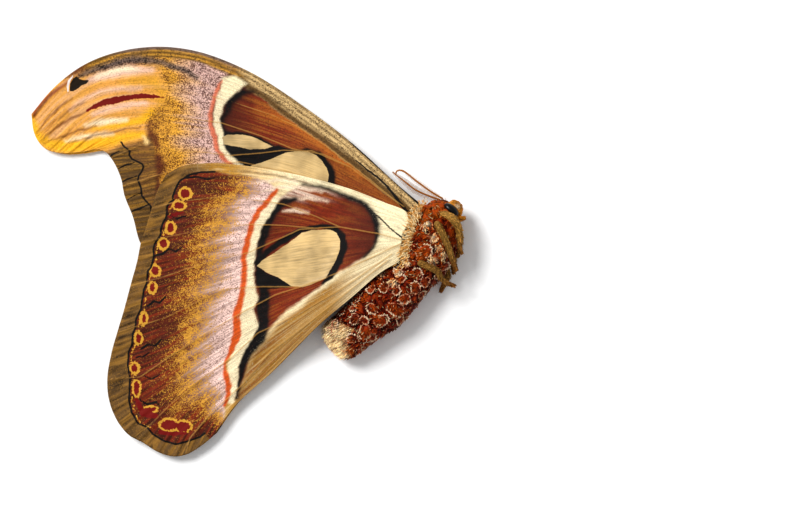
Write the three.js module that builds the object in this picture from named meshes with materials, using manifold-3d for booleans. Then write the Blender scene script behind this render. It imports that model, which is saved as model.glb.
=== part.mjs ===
// A female atlas moth, dried and lying on its left side with the wings folded together over
// its back, at life size in millimetres. +Z is up from the surface it lies on, +X and +Y span
// that surface, and the head points to +X +Y. All places are measured from the thorax's centre.
import * as THREE from "three";
import { mergeVertices } from "three/addons/utils/BufferGeometryUtils.js";
import Module from "manifold-3d";

// Driving dimensions
const GAP = 0.3;
const MEMBRANE = 0.5;
const VEIN_RISE = 0.3;
const VEIN_HALF_WIDTH = 0.7;
const BODY_MID_HEIGHT = 6.4;
const WING_STACK_HEIGHT = 1.85;
const FOREWING_OFFSET = 0.45;
const HINDWING_OFFSET = 1.6;
const FOREWING_ROOT_SPREAD = 1.9;
const HINDWING_ROOT_SPREAD = 3.1;
const SPREAD_REACH = 12;
const SLOPE_LENGTH = 92;
const SLOPE_WIDTH = 72;
const SLOPE_END = 1.2;
const LOBE_START = 26;
const LOBE_END = 38;
const LOBE_DROP = 1.05;
const LOWER_WING_SCALE = 0.985;
const CORE_DEPTH = 1;

// How finely the solids are made
const WING_STEPS = 11;
const WIDE_FIELD = 12;
const EDGE_SAMPLES = 400;
const BODY_SIDES = 18;
const LEG_SIDES = 7;
const EYE_SIDES = 12;
const CLUMP_SIDES = 6;
const CLUMP_RINGS = 3;
const RAMUS_SIDES = 3;
const WELD_DISTANCE = 1e-4;
const SEED = 7;

// A vein gets lower by this share towards the margin, and takes at most this share of a field
const VEIN_TAPER = 0.6;
const VEIN_MOST = 0.3;
// The higher, the nearer to the margin a wing's fields begin to bend to its outline
const MARGIN_PULL = 3;

// Where the two sides' wings part from each other along the back
const BACK_LINE = [
  [-6.2, 8.7],
  [-34.1, -26.4],
];

// Forewing: its lines run from the root to the outer margin, from the front edge to the rear
const FOREWING_LINES = [
  {
    vein: false,
    points: [[-3.4, 11], [-25.4, 30.5], [-56.4, 52.1], [-84.3, 60], [-107.6, 54.6], [-124.3, 39.1]],
  },
  {
    vein: true,
    points: [[-4.2, 10.2], [-24, 25], [-41, 34.7], [-56, 40], [-80, 47], [-103, 45.6], [-122, 30.9]],
  },
  { vein: true, points: [[-5, 9.5], [-24, 21.5], [-39, 28.5], [-65, 36.3], [-100, 39.3], [-115, 27]] },
  { vein: true, points: [[-5.7, 8.8], [-22, 17.5], [-41, 26.5], [-67, 27.3], [-99.5, 25.2]] },
  { vein: true, points: [[-6.4, 8], [-25, 14], [-56, 23.5], [-96, 16]] },
  { vein: false, points: [[-7.1, 7.1], [-25.4, 2.5], [-56.4, -2.8], [-88.3, -4.7]] },
];
const FOREWING_MARGIN = [
  [-124.3, 39.1], [-123.7, 34.1], [-122, 30.9], [-119.7, 28.1], [-115, 27], [-109, 27.3],
  [-103.5, 28.1], [-99.5, 25.2], [-96, 16], [-92.7, 7.1], [-90.8, 0], [-88.3, -4.7],
];

// Hindwing, in the same order
const HINDWING_LINES = [
  { vein: false, points: [[-7.1, 5.6], [-14.6, 11.5], [-40.9, 19.8], [-68.8, 23.9], [-82.5, 20.1]] },
  { vein: true, points: [[-9.2, 1.6], [-28.5, 4.9], [-51.8, 12.6], [-73.5, 13], [-86.8, 9.9]] },
  { vein: true, points: [[-9.3, 0.6], [-30, 3.8], [-56.4, 4.8], [-90.2, -0.9]] },
  { vein: true, points: [[-9.4, -0.4], [-35.3, 2.6], [-61.1, -4.7], [-93.3, -13.6]] },
  { vein: true, points: [[-9.6, -1.9], [-35.3, -12.6], [-56.4, -14.1], [-75, -20], [-97.3, -27.9]] },
  { vein: true, points: [[-9.8, -2.9], [-38, -14.8], [-60.1, -23.2], [-82.8, -36.3], [-100.6, -42.5]] },
  { vein: true, points: [[-10, -4.5], [-28.5, -15.8], [-59.5, -35.6], [-79.7, -49.3], [-92.7, -61.1]] },
  { vein: true, points: [[-10.1, -5.6], [-31.6, -21.4], [-56.4, -43.7], [-71.9, -58], [-76, -66.2]] },
  { vein: false, points: [[-10.2, -6.8], [-25.4, -18.6], [-50.2, -41.5], [-67.9, -60.8]] },
];
const HINDWING_MARGIN = [
  [-82.5, 20.1], [-85.6, 14.9], [-86.8, 9.9], [-89, 2.5], [-90.2, -0.9], [-91.8, -6.8], [-93.3, -13.6],
  [-95.6, -21.5], [-97.3, -27.9], [-99.5, -34.5], [-100.6, -42.5], [-100.2, -49], [-98, -55.2],
  [-92.7, -61.1], [-84.3, -66], [-76, -66.2], [-72, -64.3], [-67.9, -60.8],
];

// Body: each section's place along the back, its height, and its half depth and half width
const THORAX_SECTIONS = [
  { at: [4.3, 12.2], z: 6.8, depth: 1.6, width: 1.8 },
  { at: [3.5, 10.4], z: 6.8, depth: 4.2, width: 4.2 },
  { at: [2, 7], z: 6.7, depth: 6.6, width: 6 },
  { at: [0.3, 2], z: 6.6, depth: 8, width: 6.9 },
  { at: [-1.4, -3], z: 6.4, depth: 8.1, width: 6.7 },
  { at: [-3.6, -7.4], z: 6.2, depth: 7.6, width: 6.3 },
  { at: [-5.6, -10.4], z: 6.1, depth: 7, width: 6.1 },
];
const ABDOMEN_SECTIONS = [
  { at: [-5.9, -10.8], z: 6.1, depth: 6.9, width: 6 },
  { at: [-9.6, -14.6], z: 6.1, depth: 7.9, width: 6.4 },
  { at: [-15.2, -19.8], z: 6, depth: 8.6, width: 6.3 },
  { at: [-21.2, -25.2], z: 5.7, depth: 7.6, width: 6 },
  { at: [-26.5, -29.4], z: 5.3, depth: 7, width: 5.5 },
  { at: [-29.2, -31.2], z: 5, depth: 6.4, width: 4.9 },
  { at: [-30.7, -32.3], z: 4.8, depth: 4.4, width: 3.2 },
];
const HEAD_SECTIONS = [
  { at: [3.9, 10.6], z: 6.9, depth: 2, width: 2.1 },
  { at: [4.7, 10], z: 6.9, depth: 3.1, width: 3 },
  { at: [6.2, 9.2], z: 6.9, depth: 3.5, width: 3.3 },
  { at: [7.9, 8.2], z: 6.9, depth: 2.9, width: 2.6 },
  { at: [9, 7.5], z: 6.9, depth: 1.4, width: 1.3 },
];

// Coat: the clumps' spacing, half width and height above the core, and how far round the back
// the wings cover them, as an angle each side of the back
const THORAX_COAT = { spacing: 4.1, size: 2.6, height: 1.7, covered: 55 };
const ABDOMEN_COAT = { spacing: 3.9, size: 2.4, height: 1.6, covered: 40 };
// All clumps: their lean to the tail, how far they vary, and the bare share at a body's ends
const CLUMP = { lean: 0.45, shift: 0.25, sizeRange: 0.18, heightRange: 0.2, bareEnd: 0.02 };

// Eyes: z is the head's middle height, from which each one is set off by rise
const EYE = { at: [5.8, 9.2], z: 6.9, rise: 2.5, length: 2.6, width: 1.5, height: 1.7, turn: -42 };

// Legs: points down from the hip with the radius there. The left ones lie under the body.
const LEGS = {
  foreleg: {
    right: [
      [2, 7.9, 10.2, 0.9],
      [3.6, 8.7, 12, 0.85],
      [6.2, 7, 12.6, 0.85],
      [8, 3.8, 11.6, 0.8],
      [8.4, 0.9, 10.4, 0.6],
      [8.6, -2.4, 9.6, 0.55],
      [9.3, -4.6, 9.2, 0.3],
    ],
    left: [
      [4.6, 6.4, 4.2, 0.9],
      [6.6, 4.8, 2.4, 0.8],
      [8.4, 2.2, 2.2, 0.75],
      [8.8, -0.6, 2.8, 0.6],
      [8.2, -3.6, 3, 0.5],
      [8, -5.4, 3, 0.3],
    ],
  },
  midleg: {
    right: [
      [1.2, 5.6, 12.6, 0.95],
      [2.4, 3.2, 13.9, 0.95],
      [3.8, 0.4, 14, 0.85],
      [5, -2.4, 13.2, 0.75],
      [6, -5.4, 11.8, 0.7],
      [7, -8.2, 10.6, 0.6],
      [7.6, -9.8, 10, 0.35],
    ],
    left: [
      [5.6, 2, 2.6, 0.9],
      [7, -1, 1.6, 0.8],
      [6.8, -5, 1.4, 0.7],
      [6.6, -8.6, 1.6, 0.55],
      [6.8, -10.6, 1.6, 0.3],
    ],
  },
  hindleg: {
    right: [
      [-4.4, -6.8, 12.4, 0.9],
      [-1.9, -8, 13.2, 0.85],
      [1.6, -9.8, 12.2, 0.8],
      [2.6, -11.6, 11.2, 0.65],
      [4.4, -13.2, 10.2, 0.6],
      [7.2, -14.3, 9.4, 0.35],
    ],
    left: [
      [2.4, -7.4, 2.8, 0.85],
      [4.4, -9, 1.8, 0.75],
      [4.8, -11.8, 1.6, 0.65],
      [3.4, -14.4, 1.6, 0.5],
      [2.6, -16.2, 1.6, 0.3],
    ],
  },
};

// Antennae: the stalk's points with the radius there
const ANTENNAE = {
  right: [
    [3.4, 12.6, 9.4, 0.45], [-0.6, 15, 10.2, 0.42], [-4.7, 18, 10.4, 0.4], [-9.4, 21.4, 9.8, 0.36],
    [-10.9, 21.2, 9.3, 0.32], [-11.3, 19.9, 8.9, 0.25],
  ],
  left: [
    [2.6, 12.4, 4.4, 0.45], [-1.6, 13.9, 3.8, 0.42], [-5.2, 15.6, 3.6, 0.4], [-8.6, 18.2, 3.2, 0.36],
    [-12.4, 21.2, 2.8, 0.25],
  ],
};
// Their side branches: pairs between two places along the stalk, in a plane turned by tilt from
// level, each leaning forward and shorter by the ends
const RAMI = {
  pairs: 11,
  from: 0.14,
  to: 0.94,
  length: 1.4,
  root: 0.3,
  tip: 0.14,
  lean: 0.5,
  swell: [0.2, 0.9],
  tilt: { right: 50, left: 10 },
};

// Palps: short rods that reach forward from under the face
const PALPS = {
  right: [[6.4, 7.2, 8.2, 0.7], [8.6, 6.6, 8.6, 0.65], [10, 6.7, 8.5, 0.3]],
  left: [[6.4, 7.2, 5.6, 0.7], [8.6, 6.6, 5.2, 0.65], [10, 6.7, 5.3, 0.3]],
};

const COLOURS = {
  forewing: 0x9a5a32,
  hindwing: 0x93522c,
  thorax: 0xa84420,
  abdomen: 0x9c3a1c,
  head: 0xc07020,
  eye: 0x0c0a08,
  leg: 0xb8923c,
  antenna: 0xc07828,
};

const wasm = await Module();
wasm.setup();
const { Manifold, Mesh } = wasm;

// A closed geometry as a solid, turned outwards if its faces point in
function solidOf(geometry) {
  const merged = mergeVertices(geometry, WELD_DISTANCE);
  const triVerts = new Uint32Array(merged.index.array);
  const vertProperties = merged.attributes.position.array;
  const solid = new Manifold(new Mesh({ numProp: 3, vertProperties, triVerts }));
  if (solid.volume() > 0) return solid;
  for (let i = 0; i < triVerts.length; i += 3) {
    [triVerts[i + 1], triVerts[i + 2]] = [triVerts[i + 2], triVerts[i + 1]];
  }
  return new Manifold(new Mesh({ numProp: 3, vertProperties, triVerts }));
}

function geometryOf(solid) {
  const mesh = solid.getMesh();
  const geometry = new THREE.BufferGeometry();
  geometry.setAttribute("position", new THREE.BufferAttribute(mesh.vertProperties, 3));
  geometry.setIndex(new THREE.BufferAttribute(mesh.triVerts, 1));
  geometry.computeVertexNormals();
  return geometry;
}

// Numbers from 0 to 1 that are the same on each run
let randomState = SEED;
function random() {
  randomState = (Math.imul(randomState, 1664525) + 1013904223) >>> 0;
  return randomState / 2 ** 32;
}

function around(middle, share) {
  return middle * (1 + share * (2 * random() - 1));
}

// A smooth line through the middles of a body's sections
function spineOf(sections) {
  return new THREE.CatmullRomCurve3(sections.map(({ at, z }) => new THREE.Vector3(...at, z)));
}

// A smooth level line through points of the plan
function planLine(points) {
  return new THREE.CatmullRomCurve3(points.map(([x, y]) => new THREE.Vector3(x, y, 0)));
}

// A smooth line through stations that each carry a radius as well
function pathOf(stations) {
  return new THREE.CatmullRomCurve3(stations.map(([x, y, z]) => new THREE.Vector3(x, y, z)));
}

// Keeps the largest closed surface, which fills sealed hollows and drops loose scraps
function largestOf(solid) {
  const bodies = solid.decompose();
  return bodies.reduce((best, body) => (body.volume() > best.volume() ? body : best));
}

// A closed body through rings of equally many points, with a fan over each end
function loft(rings) {
  const sides = rings[0].length;
  const middle = (ring) => {
    const sum = ring.reduce((total, p) => total.add(p), new THREE.Vector3());
    return sum.divideScalar(sides);
  };
  const points = [...rings.flat(), middle(rings[0]), middle(rings.at(-1))];
  const faces = [];
  for (let r = 0; r + 1 < rings.length; r++) {
    for (let k = 0; k < sides; k++) {
      const a = r * sides + k;
      const b = r * sides + ((k + 1) % sides);
      faces.push(a, b, a + sides, b, b + sides, a + sides);
    }
  }
  const last = (rings.length - 1) * sides;
  for (let k = 0; k < sides; k++) {
    const next = (k + 1) % sides;
    faces.push(points.length - 2, next, k);
    faces.push(points.length - 1, last + k, last + next);
  }
  const geometry = new THREE.BufferGeometry().setFromPoints(points);
  geometry.setIndex(faces);
  return geometry;
}

// Elliptic sections across a line that lies level, with the underside flat where it rests
function bodyForm(sections, grow = 0) {
  const line = spineOf(sections);
  const rings = sections.map((section, i) => {
    const along = line.getTangent(i / (sections.length - 1));
    const across = new THREE.Vector3(along.y, -along.x, 0).normalize();
    return Array.from({ length: BODY_SIDES }, (_, k) => {
      const angle = (2 * Math.PI * k) / BODY_SIDES;
      const p = new THREE.Vector3(...section.at, section.z);
      p.addScaledVector(across, (section.depth + grow) * Math.cos(angle));
      p.z = Math.max(p.z + (section.width + grow) * Math.sin(angle), -grow);
      return p;
    });
  });
  return solidOf(loft(rings));
}

// A place on the body's surface: along runs from 0 to 1 towards the tail, angle goes round
// from the back
function onBody(sections, along, angle, sink) {
  const line = spineOf(sections);
  const place = along * (sections.length - 1);
  const before = sections[Math.floor(place)];
  const after = sections[Math.min(Math.ceil(place), sections.length - 1)];
  const depth = THREE.MathUtils.lerp(before.depth, after.depth, place % 1) - sink;
  const width = THREE.MathUtils.lerp(before.width, after.width, place % 1) - sink;
  const towardsTail = line.getTangent(along);
  const across = new THREE.Vector3(towardsTail.y, -towardsTail.x, 0).normalize();
  const point = line.getPoint(along).addScaledVector(across, depth * Math.cos(angle));
  point.z += width * Math.sin(angle);
  const out = across.clone().multiplyScalar(width * Math.cos(angle));
  out.z = depth * Math.sin(angle);
  return { point, out: out.normalize(), towardsTail, girth: Math.PI * (depth + width) };
}

// A rounded clump of coat whose root is sunk in the core and whose crown leans to the tail
function clumpForm({ point, out, towardsTail }, size, height) {
  const clump = new THREE.SphereGeometry(1, CLUMP_SIDES, CLUMP_RINGS);
  clump.deleteAttribute("normal");
  clump.deleteAttribute("uv");
  clump.rotateX(Math.PI / 2);
  const lean = out.clone().addScaledVector(towardsTail, CLUMP.lean).normalize();
  const side = new THREE.Vector3().crossVectors(lean, towardsTail).normalize();
  const front = new THREE.Vector3().crossVectors(side, lean);
  const turn = new THREE.Matrix4().makeBasis(
    front.multiplyScalar(size),
    side.multiplyScalar(size),
    lean.multiplyScalar(height),
  );
  clump.rotateZ(2 * Math.PI * random());
  clump.applyMatrix4(turn.setPosition(point));
  return solidOf(clump);
}

// The core with its clumps fused on, in rings that run round the body like its segments
function coatForm(sections, coat) {
  const clumps = [bodyForm(sections, -CORE_DEPTH)];
  const rings = Math.round(spineOf(sections).getLength() / coat.spacing);
  const covered = THREE.MathUtils.degToRad(coat.covered);
  for (let ring = 0; ring < rings; ring++) {
    const along = (ring + 0.5) / rings;
    const count = Math.round(onBody(sections, along, 0, CORE_DEPTH).girth / coat.spacing);
    for (let k = 0; k < count; k++) {
      const angle = (2 * Math.PI * (k + (ring % 2) / 2 + CLUMP.shift * (random() - 0.5))) / count;
      const fromBack = Math.abs(Math.atan2(Math.sin(angle), Math.cos(angle)));
      const shifted = around(along, CLUMP.shift / rings);
      const size = around(coat.size, CLUMP.sizeRange);
      const height = around(coat.height, CLUMP.heightRange);
      if (fromBack < covered) continue;
      const kept = THREE.MathUtils.clamp(shifted, CLUMP.bareEnd, 1 - CLUMP.bareEnd);
      clumps.push(clumpForm(onBody(sections, kept, angle, CORE_DEPTH), size, height));
    }
  }
  return Manifold.union(clumps).trimByPlane([0, 0, 1], 0);
}

// An antenna: the stalk with its side branches in pairs, each leaning towards the tip
function antennaForm(stations, tilt) {
  const pieces = [rodForm(stations, LEG_SIDES)];
  const path = pathOf(stations);
  for (let pair = 0; pair < RAMI.pairs; pair++) {
    const along = THREE.MathUtils.lerp(RAMI.from, RAMI.to, pair / (RAMI.pairs - 1));
    const root = path.getPointAt(along);
    const forward = path.getTangentAt(along);
    const level = new THREE.Vector3(forward.y, -forward.x, 0).normalize();
    const out = level.applyAxisAngle(forward, THREE.MathUtils.degToRad(tilt));
    const length = RAMI.length * Math.sin(Math.PI * THREE.MathUtils.lerp(...RAMI.swell, along));
    for (const side of [1, -1]) {
      const direction = out.clone().multiplyScalar(side).addScaledVector(forward, RAMI.lean).normalize();
      const tip = root.clone().addScaledVector(direction, length);
      const ramus = [
        [...root.toArray(), RAMI.root],
        [...tip.toArray(), RAMI.tip],
      ];
      pieces.push(rodForm(ramus, RAMUS_SIDES, 0, 1));
    }
  }
  return largestOf(Manifold.union(pieces));
}

// A round rod along points that each carry their radius as a fourth number
function rodForm(stations, sides, grow = 0, stepsBetween = 2) {
  const path = pathOf(stations);
  const steps = (stations.length - 1) * stepsBetween;
  const frames = path.computeFrenetFrames(steps, false);
  const rings = [];
  for (let i = 0; i <= steps; i++) {
    const t = i / steps;
    const centre = path.getPoint(t);
    const place = t * (stations.length - 1);
    const before = stations[Math.floor(place)];
    const after = stations[Math.min(Math.ceil(place), stations.length - 1)];
    const radius = THREE.MathUtils.lerp(before[3], after[3], place % 1) + grow;
    const normal = frames.normals[i];
    const binormal = frames.binormals[i];
    rings.push(
      Array.from({ length: sides }, (_, k) => {
        const angle = (2 * Math.PI * k) / sides;
        return centre
          .clone()
          .addScaledVector(normal, radius * Math.cos(angle))
          .addScaledVector(binormal, radius * Math.sin(angle));
      }),
    );
  }
  return solidOf(loft(rings));
}

function smoothstep(from, to, x) {
  return THREE.MathUtils.smoothstep(x, from, to);
}

// 1 beside the body, falling to 0 away from it, on the side where the wings lie
function nearBody(x, y) {
  const [[ax, ay], [bx, by]] = BACK_LINE;
  const length = Math.hypot(bx - ax, by - ay);
  const along = ((x - ax) * (bx - ax) + (y - ay) * (by - ay)) / length;
  const across = ((x - ax) * (by - ay) - (y - ay) * (bx - ax)) / length;
  const past = along - THREE.MathUtils.clamp(along, 0, length);
  const distance = Math.hypot(past, Math.max(across, 0));
  return Math.exp(-((distance / SPREAD_REACH) ** 2));
}

// Height of the plane between the right and the left wings
function middleHeight(x, y) {
  const reach = Math.hypot(x / SLOPE_LENGTH, y / SLOPE_WIDTH);
  return THREE.MathUtils.lerp(BODY_MID_HEIGHT, WING_STACK_HEIGHT, smoothstep(0, SLOPE_END, reach));
}

// Where along a curve, from 0 to 1, it passes nearest to a point
function shareAlong(curve, point) {
  const samples = curve.getSpacedPoints(EDGE_SAMPLES);
  const distances = samples.map((sample) => sample.distanceTo(point));
  return distances.indexOf(Math.min(...distances)) / EDGE_SAMPLES;
}

// A wing's rows from the root to the margin, in the plan: one on each line, one on each side of
// a vein's ridge, and membrane rows between
function wingRows({ lines, margin }) {
  const curves = lines.map(({ points }) => planLine(points));
  const edge = planLine(margin);
  const ends = curves.map((curve) => shareAlong(edge, curve.getPoint(1)));
  const rows = [];
  const addRow = (i, share, rise) => {
    const row = [];
    for (let step = 0; step <= WING_STEPS; step++) {
      const t = step / WING_STEPS;
      const first = curves[i].getPointAt(t);
      if (share === 0) {
        row.push({ p: first, rise: rise * (1 - VEIN_TAPER * t) });
        continue;
      }
      const second = curves[i + 1].getPointAt(t);
      const width = first.distanceTo(second);
      const narrow = Math.min(VEIN_HALF_WIDTH / width, VEIN_MOST);
      const f = share === "after" ? narrow : share === "before" ? 1 - narrow : share;
      const p = first.clone().lerp(second, f);
      const straight = curves[i].getPoint(1).lerp(curves[i + 1].getPoint(1), f);
      const onEdge = edge.getPointAt(THREE.MathUtils.lerp(ends[i], ends[i + 1], f));
      p.addScaledVector(onEdge.sub(straight), t ** MARGIN_PULL);
      row.push({ p, rise: 0 });
    }
    rows.push(row);
  };
  lines.forEach(({ vein }, i) => {
    addRow(i, 0, vein ? VEIN_RISE : 0);
    if (i === lines.length - 1) return;
    if (vein) addRow(i, "after", 0);
    const wide = curves[i].getPoint(1).distanceTo(curves[i + 1].getPoint(1)) > WIDE_FIELD;
    (wide ? [1 / 3, 2 / 3] : [1 / 2]).forEach((share) => addRow(i, share, 0));
    if (lines[i + 1].vein) addRow(i, "before", 0);
  });
  return rows;
}

// A wing with its veins as ridges. side is 1 for the upper, right wing and -1 for the left one.
function wingForm(wing, side, grow = 0) {
  const scale = side > 0 ? 1 : LOWER_WING_SCALE;
  const rows = wingRows(wing);
  const outer = [];
  const inner = [];
  rows.flat().forEach(({ p, rise }) => {
    const x = p.x * scale;
    const y = p.y * scale;
    const lift = side * (wing.offset + wing.spread * nearBody(x, y));
    const lobe = wing.drop * smoothstep(LOBE_START, LOBE_END, y);
    const middle = Math.max(middleHeight(x, y) + lift - lobe, MEMBRANE / 2);
    outer.push(new THREE.Vector3(x, y, Math.max(middle + side * (MEMBRANE / 2 + rise + grow), -grow)));
    inner.push(new THREE.Vector3(x, y, Math.max(middle - side * (MEMBRANE / 2 + grow), -grow)));
  });
  return solidOf(sheet(outer, inner, rows.length, WING_STEPS + 1));
}

// Two faces of one grid, split alike, joined by a wall round their rim
function sheet(top, bottom, rowCount, columnCount) {
  const faces = [];
  const under = top.length;
  const at = (r, c) => r * columnCount + c;
  for (let r = 0; r + 1 < rowCount; r++) {
    for (let c = 0; c + 1 < columnCount; c++) {
      const [a, b, d, e] = [at(r, c), at(r, c + 1), at(r + 1, c), at(r + 1, c + 1)];
      faces.push(a, b, d, b, e, d);
      faces.push(a + under, d + under, b + under, b + under, d + under, e + under);
    }
  }
  const rim = [];
  for (let c = 0; c < columnCount - 1; c++) rim.push(at(0, c));
  for (let r = 0; r < rowCount - 1; r++) rim.push(at(r, columnCount - 1));
  for (let c = columnCount - 1; c > 0; c--) rim.push(at(rowCount - 1, c));
  for (let r = rowCount - 1; r > 0; r--) rim.push(at(r, 0));
  rim.forEach((a, i) => {
    const b = rim[(i + 1) % rim.length];
    faces.push(b, a, a + under, b, a + under, b + under);
  });
  const geometry = new THREE.BufferGeometry().setFromPoints([...top, ...bottom]);
  geometry.setIndex(faces);
  return geometry;
}

function eyeForm(side, grow = 0) {
  const ball = new THREE.SphereGeometry(1, EYE_SIDES, EYE_SIDES / 2 + 1);
  ball.deleteAttribute("normal");
  ball.deleteAttribute("uv");
  ball.scale(EYE.length + grow, EYE.width + grow, EYE.height + grow);
  ball.rotateZ(THREE.MathUtils.degToRad(EYE.turn));
  ball.translate(...EYE.at, EYE.z + side * EYE.rise);
  return solidOf(ball);
}

const FOREWING = {
  lines: FOREWING_LINES,
  margin: FOREWING_MARGIN,
  offset: FOREWING_OFFSET,
  spread: FOREWING_ROOT_SPREAD,
  drop: LOBE_DROP,
};
const HINDWING = {
  lines: HINDWING_LINES,
  margin: HINDWING_MARGIN,
  offset: HINDWING_OFFSET,
  spread: HINDWING_ROOT_SPREAD,
  drop: 0,
};
const SIDES = { right: 1, left: -1 };

const moth = new THREE.Group();
moth.name = "atlas_moth";

function addNode(name, solid, colour, roughness) {
  const material = new THREE.MeshStandardMaterial({ color: colour, roughness, metalness: 0 });
  const mesh = new THREE.Mesh(geometryOf(solid), material);
  mesh.name = name;
  moth.add(mesh);
}

// What the body is cut clear of: everything that grows from it, larger by the gap
const clearances = [];

for (const [name, side] of Object.entries(SIDES)) {
  addNode(`forewing_${name}`, wingForm(FOREWING, side), COLOURS.forewing, 0.6);
  addNode(`hindwing_${name}`, wingForm(HINDWING, side), COLOURS.hindwing, 0.6);
  clearances.push(wingForm(FOREWING, side, GAP), wingForm(HINDWING, side, GAP));
  for (const [leg, stations] of Object.entries(LEGS)) {
    addNode(`${leg}_${name}`, rodForm(stations[name], LEG_SIDES), COLOURS.leg, 0.5);
    clearances.push(rodForm(stations[name], LEG_SIDES, GAP));
  }
  addNode(`antenna_${name}`, antennaForm(ANTENNAE[name], RAMI.tilt[name]), COLOURS.antenna, 0.6);
  clearances.push(rodForm(ANTENNAE[name], LEG_SIDES, GAP));
  addNode(`eye_${name}`, eyeForm(side), COLOURS.eye, 0.15);
  clearances.push(eyeForm(side, GAP));
}

const cutClear = (solid) => largestOf(clearances.reduce((left, clear) => left.subtract(clear), solid));
const palps = Object.values(PALPS).map((stations) => rodForm(stations, LEG_SIDES));
const head = Manifold.union([bodyForm(HEAD_SECTIONS), ...palps]);
const headClear = bodyForm(HEAD_SECTIONS, GAP);
addNode("head", cutClear(head), COLOURS.head, 0.8);
// The waist is a cut across the body at the thorax's last section, as wide as the gap
const [beforeWaist, waist] = THORAX_SECTIONS.slice(-2).map(({ at }) => new THREE.Vector3(...at, 0));
const towardsHead = beforeWaist.clone().sub(waist).normalize();
const thoraxCoat = coatForm(THORAX_SECTIONS, THORAX_COAT);
const thorax = thoraxCoat.trimByPlane(towardsHead.toArray(), towardsHead.dot(waist)).subtract(headClear);
addNode("thorax", cutClear(thorax), COLOURS.thorax, 0.9);
const towardsTail = towardsHead.clone().negate();
const abdomenCoat = coatForm(ABDOMEN_SECTIONS, ABDOMEN_COAT);
const abdomen = abdomenCoat.trimByPlane(towardsTail.toArray(), towardsTail.dot(waist) + GAP);
addNode("abdomen", cutClear(abdomen), COLOURS.abdomen, 0.9);

// The origin is under the middle of the whole moth
const box = new THREE.Box3().setFromObject(moth);
const centre = box.getCenter(new THREE.Vector3());
moth.position.set(-centre.x, -centre.y, -box.min.z);

export default moth;
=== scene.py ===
import math

import bmesh
import bpy
import numpy as np
from mathutils import Matrix, Vector, noise


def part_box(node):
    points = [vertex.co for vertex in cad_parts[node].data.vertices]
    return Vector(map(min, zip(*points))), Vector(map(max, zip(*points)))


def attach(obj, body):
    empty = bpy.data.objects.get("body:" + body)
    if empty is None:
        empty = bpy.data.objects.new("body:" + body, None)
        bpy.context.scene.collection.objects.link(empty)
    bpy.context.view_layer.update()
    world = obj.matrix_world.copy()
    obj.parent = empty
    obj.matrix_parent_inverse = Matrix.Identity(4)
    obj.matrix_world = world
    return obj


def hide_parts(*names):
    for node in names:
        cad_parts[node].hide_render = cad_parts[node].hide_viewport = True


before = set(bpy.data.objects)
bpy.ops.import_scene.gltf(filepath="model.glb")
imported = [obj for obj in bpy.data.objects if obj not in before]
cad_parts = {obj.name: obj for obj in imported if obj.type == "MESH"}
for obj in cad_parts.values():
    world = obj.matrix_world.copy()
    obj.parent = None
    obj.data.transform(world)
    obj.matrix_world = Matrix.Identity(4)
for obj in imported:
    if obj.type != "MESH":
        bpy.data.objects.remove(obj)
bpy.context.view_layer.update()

bl_info = {
    "name": "Atlas Moth Specimen",
    "version": (1, 0, 0),
    "blender": (4, 5, 0),
    "location": "3D View > Sidebar > Moth",
    "description": "Wings, body, legs and antennae of a dried atlas moth lying on its side",
    "category": "Add Mesh",
}

# The whole solid model's box, and the frame's scale: sizes are in millimetres from the thorax's
# centre, and marks on the wings are in the picture's pixels, 0.31 mm each
MM = 0.001
PIXEL = 0.31
THORAX_PIXEL = (432, 240)
PICTURE_SIZE = (794, 529)
EYE_CENTRE = (5.8, 9.2, 9.4)

# Stage, in metres, and the camera's sensor in millimetres
FLOOR_REACH = 2
SENSOR_WIDTH = 36
CAMERA_RISE = 0.003


def box_middle(node):
    low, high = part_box(node)
    return (Vector(low) + Vector(high)) / 2


ORIGIN = box_middle("eye_right") - Vector(EYE_CENTRE) * MM


def hex_colour(text):
    """A linear colour from an sRGB hex value such as #8c2f10."""
    parts = [int(text[i : i + 2], 16) / 255 for i in (1, 3, 5)]
    return tuple(c / 12.92 if c <= 0.04045 else ((c + 0.055) / 1.055) ** 2.4 for c in parts)


def smoothstep(low, high, x):
    share = np.clip((x - low) / (high - low), 0, 1)
    return share * share * (3 - 2 * share)


def colour_property(name, description, text):
    return bpy.props.FloatVectorProperty(
        name=name, description=description, subtype="COLOR", size=3, min=0, max=1, default=hex_colour(text)
    )


def length_property(name, description, millimetres):
    return bpy.props.FloatProperty(
        name=name, description=description, default=millimetres * MM, min=0, precision=5, unit="LENGTH"
    )


def angle_property(name, description, degrees):
    return bpy.props.FloatProperty(
        name=name, description=description, default=math.radians(degrees), unit="ROTATION"
    )


def number_property(name, description, value, **limits):
    return bpy.props.FloatProperty(name=name, description=description, default=value, **limits)


class WingSettings(bpy.types.PropertyGroup):
    """Sizes and colours of the four wings."""

    membrane: length_property("Membrane", "Thickness of a wing", 0.16)
    vein_rise: length_property("Vein rise", "How far the main veins stand out of the membrane", 0.22)
    crease_depth: length_property("Creases", "Depth of the dried membrane's folds", 0.28)
    speckle: length_property("Scale speckle", "Size of the wing's single coloured specks", 0.22)
    cream: colour_property("Cream", "Base of the hindwing", "#f3e3ba")
    gold: colour_property("Gold", "Costal strips and the golden dusting", "#d29a38")
    olive: colour_property("Olive", "Outer margin", "#74552c")
    rust: colour_property("Rust", "Median field", "#7c2a0e")
    maroon: colour_property("Maroon", "Field behind the margin", "#5c2210")
    pink: colour_property("Pink white", "Dusted field outside the median bands", "#ecc9bd")
    orange: colour_property("Orange", "Band outside the median field", "#c9551a")
    black: colour_property("Black", "Edges of the bands and windows", "#080504")
    window: colour_property("Window", "Bare triangular windows", "#cfb07a")
    lobe: colour_property("Lobe yellow", "Tip lobe of the forewing", "#efb122")
    crimson: colour_property("Crimson", "Slash on the forewing's tip", "#760d0a")


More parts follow.
